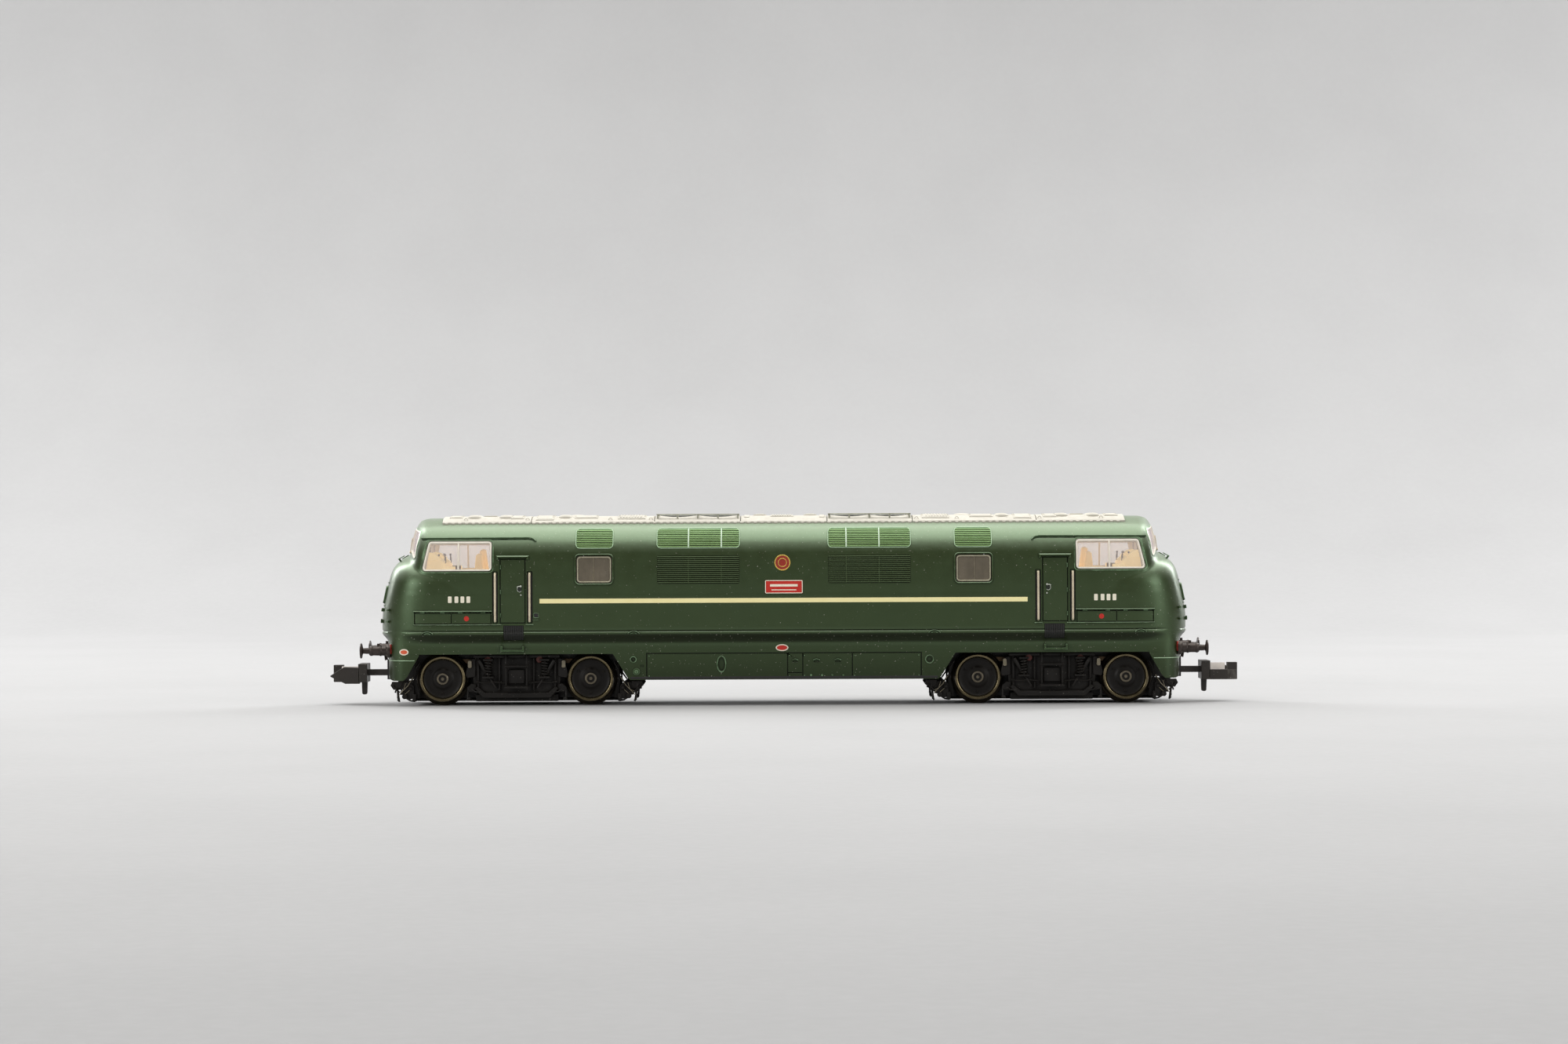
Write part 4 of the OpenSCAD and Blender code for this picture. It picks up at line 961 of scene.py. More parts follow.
G = Build().sweep([(0, 11.5), (0, 14.6)], 0.12, -0.05, 0.09, closed=False)
G.sweep([(-4.1, 14.6), (4.1, 14.6)], 0.12, -0.05, 0.09, closed=False)
G.sweep([(-3.9, 17.9), (3.9, 17.9)], 0.12, -0.05, 0.12, closed=False, step=.4)
spread(F, G, nose_point, sy=(1,))
G = Build().sweep(SCREEN, 0.3, -0.1, 0.05, chamfer=.34, step=.4)
spread(F, G, screen_point)
done(F, "body_mouldings", "raised", slot="body_green", angle=30)

# louvres
def slat(x0, x1, z, d, rise, thick, step):
    """One sloping slat: its root is above its lip, so that light from above runs along it."""
    P = dense([(x0, z), (x1, z)], step, False)
    v = []
    for x, zz in P:
        v += [(x, -0.19, zz + rise), (x, d - .02, zz + .02), (x, d, zz - .02), (x, d - .01, zz - thick), (x, -0.19, zz - .01)]
    n = 5
    f = [(i * n + k, i * n + (k + 1) % n, (i + 1) * n + (k + 1) % n, (i + 1) * n + k) for i in range(len(P) - 1) for k in range(n)]
    f += [tuple(range(n)), tuple((len(P) - 1) * n + k for k in reversed(range(n)))]
    return v, f


L = Build(); D = Build(); B = Build(); N = Build(); E = Build()
for a, b in UP_GRILLES:
    G = Build()
    for z in np.linspace(23.1, 25.46, 10):
        G.add(*slat(a + .05, b - .05, z, 0.07, .1, .1, 1.0))
    spread(L, G, side_point)
    G = Build().sweep(rounded(rect(a - .03, b + .03, 22.87, 25.68), .58), 0.13, -0.1, 0.1, chamfer=.3)
    spread(E, G, side_point)
for a, b in LOW_GRILLES:
    G = Build()
    for z in np.linspace(17.9, 21.62, 14):
        G.add(*slat(a + .03, b - .03, z, 0.09, .12, .09, 2.0))
    spread(N, G, side_point)
    G = Build()
    for x in (9.05, 13.82):
        G.sweep([(x, 17.75), (x, 21.7)], 0.1, -0.15, 0.05, closed=False)
    spread(N, G, side_point)
G = Build()
for x in (9.05, 13.82):
    G.sweep([(x, 22.95), (x, 25.6)], 0.24, -0.15, 0.14, closed=False, chamfer=.3)
spread(B, G, side_point)
# upper slats in the lit copy of the green, lower slats in the shaded copy: painted light and shade
done(L, "louvre_slats", "louvre", slot="body_green", angle=25)
done(N, "louvre_slats_low", "louvre_low", slot="body_green", angle=25)
# pale edging on the upper grille frames and along the valances: painted highlight
spread(E, Build().sweep([(q, 6.65) for q in np.linspace(39.5, 18.5, 22)], 0.1, -0.05, 0.06, closed=False, chamfer=.3, step=5), sill_arc)
done(E, "louvre_edging", "frame_green", slot="body_green", angle=30)
# near-white bars over the upper grilles: rubbed paint and a painted glint
done(B, "louvre_bars", "bright", slot="grille_metal", angle=30)

# dark ribbed footholds, door handles, handrails
G = Build()
for x in np.linspace(37.9, 40.5, 9):
    G.sweep([(x, 9.62), (x, 11.68)], 0.16, -0.2, -0.03, closed=False, step=.25)
G.plate(dense(rect(37.74, 40.66, 9.58, 11.73), .3, True), -0.24, -0.13, 4)
near_far(D, Build().plate(rounded(rect(-36.2, -35.6, 12.9, 13.45), .1), -0.05, 0.03), side_point)
near_far(D, Build().sweep([(-22.3, 4.02), (22.3, 4.02)], 0.46, -0.06, 0.03, closed=False, step=1.5, chamfer=.3), sill_point)     # dark strip along the foot of the tanks: painted shade
# dark plates at the bottom of the handrail slots: painted shade
for a, b in ((36.46, 37.2), (41.49, 42.2)):
    G.plate(dense(rounded(rect(a, b, 12.09, 19.56), .18), .5, True), -0.36, -0.27, 4)
spread(D, G, side_point)
done(D, "footholds", "dark", slot="body_green", angle=30)
H = Build()
G = Build().sweep([(38.3 + .34 * math.cos(t), 17.0 + .42 * math.sin(t)) for t in np.linspace(-2.4, 1.2, 12)], 0.1, -0.05, 0.06, closed=False, chamfer=.3, step=.2)
G.plate(oval(38.12, 17.42, .3, .3, 16), 0.0, 0.26)
G.sweep([(38.12, 17.42), (38.5, 17.38), (38.66, 17.26)], 0.15, 0.16, 0.28, closed=False, chamfer=.3)
# a small pale dot below the handle: painted glint
G.plate(oval(38.1, 16.15, .22, .22, 14), 0.0, 0.12)
spread(H, G, side_point)
# a thin dark disc round each handle: painted shade in the well
X = Build(); G = Build().plate(oval(38.28, 17.0, .62, .72, 20), -0.02, 0.02)
spread(X, G, side_point)
done(X, "door_handle_well_shades", "grey_dark", slot="body_green", angle=30)
done(H, "door_handles", "handle", slot="handrail_metal", angle=30)
W = Build(); S = Build()
for x0 in (36.85, 41.85):
    path = [(x0, 9.0 - .3, 12.35), (x0, 9.05, 12.35), (x0, 9.14, 12.38), (x0, 9.19, 12.48), (x0, 9.2, 12.7)] + [(x0, 9.2, z) for z in np.linspace(13.2, 18.4, 9)] + \
           [(x0, 9.2, 18.9), (x0, 9.19, 19.12), (x0, 9.14, 19.22), (x0, 9.05, 19.25), (x0, 8.7, 19.25)]
    G = Build().tube(path, 0.165, 12)
    spread(W, G, lambda x, y, z: (x, y, z))
    G = Build()
    for z in (12.35, 19.25):
        G.plate(oval(x0, z, .56, .56, 18), -0.05, 0.05)
    spread(S, G, side_point)
done(W, "handrails", "wire", node="door_handrails", slot="handrail_metal", angle=40)
done(S, "handrail_feet", "green", slot="body_green", angle=30)

# ---------------------------------------------------------------- paint and plates
P = Build()
near_far(P, Build().sweep([(-35.4, 15.26), (35.3, 15.26)], 0.66, 0.0, 0.014, closed=False, step=4), side_point)
done(P, "cream_stripe", "cream", slot="body_green", smooth=False)
P = Build(); G = Build()
for x0 in (-47.0, 46.6):
    for k in range(4):
        x = x0 - 1.3 + k * .86 + (.0 if k else -.1)
        G.plate(rounded(rect(x - .27, x + .27, 15.05, 15.98), .1, 3), 0.0, 0.014, 1)
near_far(P, G, side_point)
done(P, "number_blocks", "white", slot="body_green", smooth=False)
P = Build(); G = Build()
for x0 in (-46.0, 46.0):
    G.plate(oval(x0, 12.76, .74, .74), -0.02, 0.02, 2)
near_far(P, G, side_point)
G = Build().plate(oval(-0.3, 8.35, 1.5, .68), 0.02, 0.075)
near_far(P, G, sill_point)
done(P, "red_spots", "red", slot="plate_red", angle=30)
P = Build()
G = Build().plate(oval(-0.3, 8.35, 1.86, 1.0), -0.02, 0.04)
near_far(P, G, sill_point)
e = 0.02
G = Build().plate(oval(-55.2, 7.9, 1.36, .92), -0.05, 0.035)
near_far(P, G, side_point)
done(P, "oval_plates", "white", slot="plate_red", angle=30)
P = Build()
near_far(P, Build().plate(oval(-55.2, 7.9, 1.0, .58), 0.0, 0.06), side_point)
done(P, "oval_centres", "orange", slot="plate_red", angle=30)
P = Build()
near_far(P, Build().plate(rounded(rect(-2.72, 2.72, 16.24, 18.16), .12, 4), 0.005, 0.07, 2), side_point)
done(P, "nameplates_red", "red", node="nameplates", slot="plate_red", angle=30)
P = Build()
G = Build().sweep(rounded(rect(-2.66, 2.66, 16.3, 18.1), .12, 4), 0.11, 0.05, 0.095, step=2)
G.sweep([(-2.0, 17.4), (2.0, 17.4)], 0.34, 0.05, 0.085, closed=False, step=2)
G.sweep([(-1.8, 16.75), (1.8, 16.75)], 0.13, 0.05, 0.085, closed=False, step=2)
near_far(P, G, side_point)
done(P, "nameplate_borders", "white", slot="plate_red", angle=30)
P = Build()
G = Build().plate(oval(-0.2, 20.7, 2.3, 2.3, 40), 0.0, 0.03, 3)
near_far(P, G, side_point)
done(P, "roundel_ground", "red_dark", slot="plate_red", angle=30)
P = Build()
G = Build().sweep(oval(-0.2, 20.7, 2.16, 2.16, 40), 0.16, 0.0, 0.06, chamfer=.3)
G.sweep(oval(-0.2, 20.7, 1.2, 1.2, 32), 0.12, 0.0, 0.05, chamfer=.3)
near_far(P, G, side_point)
done(P, "roundel_rings", "gold", slot="plate_red", angle=30)

# ---------------------------------------------------------------- roof
def roof_slab(b, x0, x1, hy, d0, d1, ny=30, xs=None, bev=0.07):
    """A curved slab over the crown, with a chamfered edge."""
    xs = xs or [x0, x0 + bev] + list(np.linspace(x0 + bev, x1 - bev, max(2, int((x1 - x0) / 3)))[1:-1]) + [x1 - bev, x1]
    ys = [-hy, -hy + bev] + list(np.linspace(-hy + bev, hy - bev, ny)[1:-1]) + [hy - bev, hy]
    nx, nyy = len(xs), len(ys)
    v = []
    for top in (1, 0):
        for i, x in enumerate(xs):
            for j, y in enumerate(ys):
                edge = i in (0, nx - 1) or j in (0, nyy - 1)
                d = (d1 - (bev if edge else 0)) if top else d0
                v.append(roof_point(x, d, y))
    f = []
    o = nx * nyy
    for i in range(nx - 1):
        for j in range(nyy - 1):
            q = (i * nyy + j, (i + 1) * nyy + j, (i + 1) * nyy + j + 1, i * nyy + j + 1)
            f += [q, tuple(o + k for k in reversed(q))]
    for i in range(nx - 1):
        for j in (0, nyy - 1):
            a, c = i * nyy + j, (i + 1) * nyy + j
            f.append((a, c, o + c, o + a))
    for j in range(nyy - 1):
        for i in (0, nx - 1):
            a, c = i * nyy + j, i * nyy + j + 1
            f.append((a, c, o + c, o + a))
    return b.add(v, f)


R = Build()
JOINTS = [-49.8, -36.85, -18.85, -6.3, 6.35, 18.8, 36.9, 49.8]
for a, c in zip(JOINTS, JOINTS[1:]):
    roof_slab(R, a + (.05 if a > -49 else 0), c - (.05 if c < 49 else 0), 4.86, -0.12, 0.25)
for sy in (1, -1):                                  # scalloped drip along both edges
    for x in np.arange(-49.2, 49.3, 0.98):
        G = Build().plate(oval(0, 0, 0.62, 0.5, 12), 0.0, 0.3, 1)
        R.add([roof_point(x + p[0], p[1] * .9 - .08, sy * (4.82 + p[2])) for p in G.v], G.f)


def roof_box(b, x0, x1, y0, y1, d0, d1, n=3):
    xs = np.linspace(x0, x1, 2); ys = np.linspace(y0, y1, n)
    v = [roof_point(x, d, y) for d in (d0, d1) for x in xs for y in ys]
    f, o = [], len(xs) * n
    for j in range(n - 1):
        q = (j, n + j, n + j + 1, j + 1)
        f += [q, tuple(o + k for k in reversed(q))]
        f += [(j, j + 1, o + j + 1, o + j), (n + j, n + j + 1, o + n + j + 1, o + n + j)]
    for j in (0, n - 1):
        f.append((j, n + j, o + n + j, o + j))
    return b.add(v, f)


def roof_disc(b, x, y, r, h, steps):
    """A stepped round cover. steps: (share of the radius, share of the height)."""
    c = roof_point(x, 0.2, y)
    prof = [(0, -0.15)] + [(r, -0.15), (r, 0.02)] + [(r * a, h * t) for a, t in steps] + [(0, h)]
    return b.lathe(prof, c, "z", 32)


DOME = [(1.0, .1), (.96, .3), (.86, .55), (.68, .8), (.4, .95)]
CAP = [(1.0, .55), (.93, .7), (.62, .72), (.58, .95), (.3, 1.0)]
for x in (-45.3, -40.7, -32, 32, 40.7, 45.3):
    for y in (-2.4, 2.4):
        roof_disc(R, x, y, 0.98, 0.42, DOME)
        for k in range(6):
            t = k * math.pi / 3
            roof_disc(R, x + 1.2 * math.cos(t), y + 1.2 * math.sin(t), 0.1, 0.09, [(.8, .8)])
for x in (-3.5, 3.9):
    roof_disc(R, x, 0, 0.95, 0.3, CAP)
for x in (-30.3, 26.2):
    roof_disc(R, x, 0, 1.25, 0.26, DOME)
for sx in (1, -1):
    # hatches, walkway ribs, lifting eyes
    for x0, x1, y0, y1 in ((42.1, 44.0, -1.2, 1.2), (38.0, 39.9, -3.6, 3.6), (33.6, 36.2, -4.2, 4.2), (27.2, 30.6, -3.4, 3.4), (20.2, 24.2, -3.9, 3.9), (47.0, 48.9, -3.0, 3.0)):
        roof_box(R, x0 * sx, x1 * sx, y0, y1, 0.15, 0.325, 9)
        roof_box(R, (x0 + .25) * sx, (x1 - .25) * sx, y0 + .25, y1 - .25, 0.25, 0.37, 9)
        for x in (x0 + .12, x1 - .12):
            for y in np.linspace(y0 + .12, y1 - .12, max(2, int((y1 - y0) / 1.1))):
                roof_disc(R, x * sx, y, 0.075, 0.19, [(.8, .9)])
    for x in np.arange(20.8, 24.0, .42):
        roof_box(R, x * sx, (x + .16) * sx, -3.3, 3.3, 0.3, 0.43, 9)
    for x in (19.4, 25.3, 37.4, 46.4):
        for y in (-4.1, 4.1):
            c = roof_point(x * sx, 0.25, y)
            R.tube([(c[0] + .26 * math.cos(t), c[1], c[2] + .02 + .26 * abs(math.sin(t))) for t in np.linspace(0, math.pi, 9)], .055, 6)
# slotted panel at the middle
roof_box(R, -1.9, 1.4, -2.6, 2.6, 0.15, 0.33, 9)
for x in np.arange(-1.65, 1.2, .36):
    roof_box(R, x, x + .17, -2.3, 2.3, 0.3, 0.42, 7)
for x in (-5.4, 5.6):
    roof_box(R, x - .35, x + .35, -3.2, 3.2, 0.15, 0.34, 9)
# fan grille wells
for sx in (1, -1):
    roof_box(R, 6.9 * sx, 18.25 * sx, -3.6, 3.6, 0.12, 0.275, 15)
done(R, "roof_panels", "roof", node="roof_strip", slot="roof_grey", angle=30)

FG = Build()
for sx in (1, -1):
    for x0, x1 in ((6.9, 12.35), (12.75, 18.2)):
        cx, z0 = (x0 + x1) / 2 * sx, 27.52
        for r in (0.55, 1.05, 1.55, 2.05, 2.55):
            FG.tube([(cx + r * math.cos(t), r * math.sin(t), z0 - .012 * (r * math.sin(t)) ** 2 + .1) for t in np.linspace(0, 2 * math.pi, 33)[:-1]], .07, 6, closed=True)
        for k in range(8):
            t = k * math.pi / 4 + .2
            FG.tube([(cx + r * math.cos(t), r * math.sin(t), z0 + .02 - .012 * (r * math.sin(t)) ** 2 + .1) for r in (0.2, 1.4, 2.6)], .06, 6)
        FG.lathe([(0, 0), (.42, 0), (.42, .1), (.3, .16), (0, .17)], (cx, 0, z0 + .05), "z", 20)
done(FG, "fan_guards", "grille_dark", slot="grille_metal", angle=40)
FD = Build()
for sx in (1, -1):
    for x0, x1 in ((6.9, 12.35), (12.75, 18.2)):
        cx = (x0 + x1) / 2 * sx
        P = [(cx + 2.68 * math.cos(t), 2.68 * math.sin(t)) for t in np.linspace(0, 2 * math.pi, 41)[:-1]]
        b = Build().plate(P, 0.2, 0.292, 3)
        FD.add([roof_point(p[0], p[1], p[2]) for p in b.v], b.f)
done(FD, "fan_wells", "dark", slot="grille_metal", angle=40)
FR = Build()
for sx in (1, -1):
    for y in (-3.72, 0.0, 3.72):
        w = .2 if y else .11
        FR.box(6.5 * sx, 18.6 * sx, y - w * .9, y + w * .9, 27.66, 27.82) if y else None
    for x in (6.68, 12.55, 18.42):
        FR.box((x - .17) * sx, (x + .17) * sx, -3.9, 3.9, 27.65, 27.8)
    for x in (6.7, 9.6, 12.55, 15.5, 18.4):
        for y in (-3.72, 3.72):
            z = roof_point(x, 0.2, y)[2]
            FR.box((x - .12) * sx, (x + .12) * sx, y - .12, y + .12, z, 27.7)
done(FR, "roof_frames", "grille", node="roof_grille_frames", slot="grille_metal", bevel=.04, seg=2)

# ---------------------------------------------------------------- glazing
def ring_inside(poly, off):
    """The polygon moved inwards by off."""
    P = np.array(poly); n = len(P)
    out = []
    c = P.mean(0)
    for i in range(n):
        a, b = P[i] - P[i - 1], P[(i + 1) % n] - P[i]
        t = a / (np.linalg.norm(a) + 1e-9) + b / (np.linalg.norm(b) + 1e-9)
        t = t / (np.linalg.norm(t) + 1e-9)
        nr = np.array([-t[1], t[0]])
        if nr @ (c - P[i]) < 0: nr = -nr
        out.append(tuple(P[i] + nr * off))
    return out


for e, sx in ((1, -1), (2, 1)):
    G = Build(); Gs = Build().plate(dense(ring_inside(CAB_WIN, .02), .5, True), -0.42, -0.2, 5)
    spread(G, Gs, side_point, sx=(sx,))
    done(G, "cab_panes_%d" % e, "glass", node="cab_glazing_%d" % e, slot="clear_glazing", angle=40)
    G = Build(); Gs = Build().plate(dense(ring_inside(SCREEN, .02), .4, True), -0.34, -0.08, 5)
    spread(G, Gs, screen_point, sx=(sx,))
    done(G, "windscreens_%d" % e, "screen", slot="clear_glazing", angle=40)
    G = Build(); Gs = Build()
    Gs.sweep(dense(ring_inside(CAB_WIN, .16), .5, True), 0.3, -0.3, -0.015, chamfer=.25)
    Gs.sweep([(47.2, 19.7), (47.2, 23.95)], 0.26, -0.3, -0.05, closed=False, chamfer=.25)
    spread(G, Gs, side_point, sx=(sx,))
    Gs = Build().sweep(dense(ring_inside(SCREEN, .13), .4, True), 0.26, -0.3, 0.07, chamfer=.25)
    spread(G, Gs, screen_point, sx=(sx,))
    done(G, "cab_pane_rims_%d" % e, "glass_rim", slot="clear_glazing", angle=35)
    # the clear moulding's flanges, seen inside the pillars; they glow faintly, a painted glow
    G = Build(); Gs = Build().sweep(dense(ring_inside(CAB_WIN, -.42), .5, True), 0.9, -1.15, -0.9)
    spread(G, Gs, side_point, sx=(sx,))
    Gs = Build().sweep(dense(ring_inside(SCREEN, -.2), .4, True), 0.6, -1.2, -0.95)
    spread(G, Gs, screen_point, sx=(sx,))
    done(G, "cab_pane_flanges_%d" % e, "trim", slot="clear_glazing", angle=35)
    # wipers
    G = Build()
    for sy in (1, -1):
        P = [screen_point(1.7 + .35 * t, 0.2, 22.4 + 2.0 * t) for t in np.linspace(0, 1, 5)]
        G.tube([(p[0] * sx, p[1] * sy, p[2]) for p in P], .06, 6)
        P = [screen_point(1.0 + 1.5 * t, 0.15, 23.3 + .95 * t) for t in np.linspace(0, 1, 4)]
        G.tube([(p[0] * sx, p[1] * sy, p[2]) for p in P], .05, 6)
        c = screen_point(1.7, 0.05, 22.35)
        G.lathe([(0, -.1), (.2, -.1), (.2, .2), (.12, .26), (0, .27)], (c[0] * sx, c[1] * sy, c[2]), "x", 14, sx)
    done(G, "wipers_%d" % e, "wire", slot="grille_metal", angle=40)

G = Build(); Gs = Build().plate(dense(rounded(rect(24.95, 30.05, 17.85, 21.75), .45), .6, True), -0.45, -0.12, 4)
spread(G, Gs, side_point)
done(G, "side_panes", "smoke", node="side_window_glazing", slot="tinted_glazing", angle=40)
G = Build(); Gs = Build().sweep([(27.6, 18.05), (27.6, 21.55)], 0.13, -0.18, -0.05, closed=False, chamfer=.3)
spread(G, Gs, side_point)
done(G, "side_pane_dividers", "worn_and_glint", slot="tinted_glazing", angle=40)
G = Build(); Gs = Build().sweep(rounded(rect(25.1, 29.9, 18.0, 21.6), .42), 0.22, -0.15, 0.05, chamfer=.3)
spread(G, Gs, side_point)
done(G, "side_pane_frames", "frame_metal", slot="tinted_glazing", angle=35)

G = Build(); Gs = Build().plate(dense(rounded(rect(0.58, 3.22, 15.18, 17.12), .2), .5, True), -0.45, -0.1, 4)
spread(G, Gs, nose_point)
done(G, "headcode_panes", "blind", node="headcode_glazing", slot="headcode_white", angle=40)
G = Build(); Gs = Build().sweep([(1.9, 15.2), (1.9, 17.1)], 0.12, -0.15, -0.03, closed=False)
Gs.sweep(rounded(rect(0.68, 3.12, 15.28, 17.02), .2), 0.16, -0.14, 0.02)
spread(G, Gs, nose_point)
done(G, "headcode_frames", "glass_rim", slot="headcode_white", angle=35)

# ---------------------------------------------------------------- cab interiors
for e, sx in ((1, -1), (2, 1)):
    I = Build()
    I.box(41.0 * sx, 53.0 * sx, -6.5, 6.5, 16.3, 17.1)
    I.prism([(-6.55, 16.4), (6.55, 16.4), (6.55, 22.6), (6.0, 23.3), (-6.0, 23.3), (-6.55, 22.6)], 41.0 * sx, 41.5 * sx, "x")
    desk = [(53.0, 17.0), (53.2, 20.4), (52.5, 21.25), (51.3, 21.5), (50.2, 21.35), (49.5, 20.9), (49.2, 20.2), (49.9, 19.2), (50.3, 17.0)]
    I.prism([(x * sx, z) for x, z in rounded(desk, [.1, .3, .4, .5, .5, .4, .3, .4, .1], 4)], -6.0, 6.0, "y")
    for y0 in (-4.6, 4.6):          # instrument hoods
        hood = [(52.4, 21.0), (52.3, 22.0), (51.8, 22.35), (51.0, 22.2), (50.2, 21.6), (50.0, 21.2)]
        I.prism([(x * sx, z) for x, z in rounded(hood, .25, 4)], y0 - 1.5, y0 + 1.5, "y")
    I.box(47.9 * sx, 49.6 * sx, -6.3, -5.2, 17.0, 20.3)
    I.box(47.9 * sx, 49.6 * sx, 5.2, 6.3, 17.0, 20.3)
    o = done(I, "cab_desk_%d" % e, "interior", node="cab_interior_%d" % e, slot="cab_cream", bevel=.12, seg=3)
    S = Build()
    for y0, top in ((-3.6, 22.15), (3.6, 22.75)):
        S.prism([(x * sx, z) for x, z in rounded([(44.7, 17.2), (47.5, 17.2), (47.6, 19.5), (47.0, 19.9), (44.7, 19.9)], [.2, .2, .4, .4, .2], 4)], y0 - 1.45, y0 + 1.45, "y")
        S.prism([(x * sx, z) for x, z in rounded([(44.75, 19.0), (45.2, 19.2), (44.95, top - .3), (44.6, top), (44.2, top - .1), (43.75, 19.2)], [.2, .3, .3, .25, .3, .2], 4)], y0 - 1.4, y0 + 1.4, "y")
    done(S, "cab_seats_%d" % e, "seat", slot="cab_cream", bevel=.3, seg=4)
    D = Build()
    for y in (-4.4, 4.4):
        for x in (49.5, 50.4):
            D.tube([(x * sx, y, 21.1), (x * sx, y + .15, 21.9)], .09, 8)
            D.lathe([(0, -.14), (.15, -.1), (.16, .1), (0, .15)], (x * sx, y + .16, 21.95), "z", 12)
        D.lathe([(.46, -.05), (.5, 0), (.46, .05), (.42, 0), (.46, -.05)], (49.3 * sx, y - .9, 21.2), "x", 20)
    D.box(48.0 * sx, 49.4 * sx, -5.1, -4.6, 19.6, 20.3)
    D.box(48.0 * sx, 49.4 * sx, 4.6, 5.1, 19.6, 20.3)
    done(D, "cab_controls_%d" % e, "dark", slot="cab_cream", bevel=.05)

# ---------------------------------------------------------------- beams and buffers
for e, sx in ((1, -1), (2, 1)):
    ph = np.radians(np.linspace(26.5, -26.5, 61))
    r = sill_r(np.abs(ph))
    pts = [(44 + (q + .2) * math.cos(p), (q + .2) * math.sin(p)) for p, q in zip(ph, r)] + [(44 + (q - .02) * math.cos(p), (q - .02) * math.sin(p)) for p, q in zip(ph[::-1], r[::-1])]
    B = Build().prism([(x * sx, y) for x, y in pts], 7.62, 8.98, "z")
    done(B, "beam_%d" % e, "beam", node="buffer_beam_%d" % e, slot="beam_red", bevel=.04, seg=2, angle=40)
    K = Build()
    for sy in (1, -1):
        c = (0, 5.88 * sy, 8.05)
        K.lathe([(0, 56.2), (.66, 56.2), (.66, 57.3), (.98, 57.34), (1.0, 57.75), (.96, 57.85), (.74, 57.9), (.7, 58.6), (.76, 58.68), (.78, 58.86), (.7, 58.94), (.68, 59.9),
                 (.74, 59.98), (.74, 60.22), (.66, 60.34), (.45, 60.36), (.43, 61.0), (.4, 61.3), (.55, 61.4), (.82, 61.44), (1.06, 61.5), (1.12, 61.58), (1.12, 61.66),
                 (1.04, 61.74), (.8, 61.78), (.4, 61.8), (0, 61.8)], c, "x", 40, sx)
        for k in range(4):
            t = math.pi / 4 + k * math.pi / 2
            K.lathe([(0, 57.7), (.13, 57.7), (.13, 57.96), (.08, 58.0), (0, 58.0)], (0, c[1] + .84 * math.cos(t), c[2] + .84 * math.sin(t)), "x", 8, sx)
        K.box(58.9 * sx, 59.3 * sx, c[1] - .12, c[1] + .12, c[2] + .6, c[2] + 1.05)
    K.box(57.85 * sx, 58.5 * sx, -.16, .16, 7.9, 8.6)
    for y in (-3.4, -1.7, 1.7, 3.4):       # brake pipe stubs
        P = [(57.9 * sx, y, 8.5), (58.35 * sx, y, 8.45), (58.45 * sx, y, 8.1), (58.4 * sx, y, 7.3), (58.3 * sx, y, 6.6)]
        K.tube(P, .15, 8)
    done(K, "buffer_set_%d" % e, "buffer", node="buffers_%d" % e, slot="buffer_metal", angle=35)

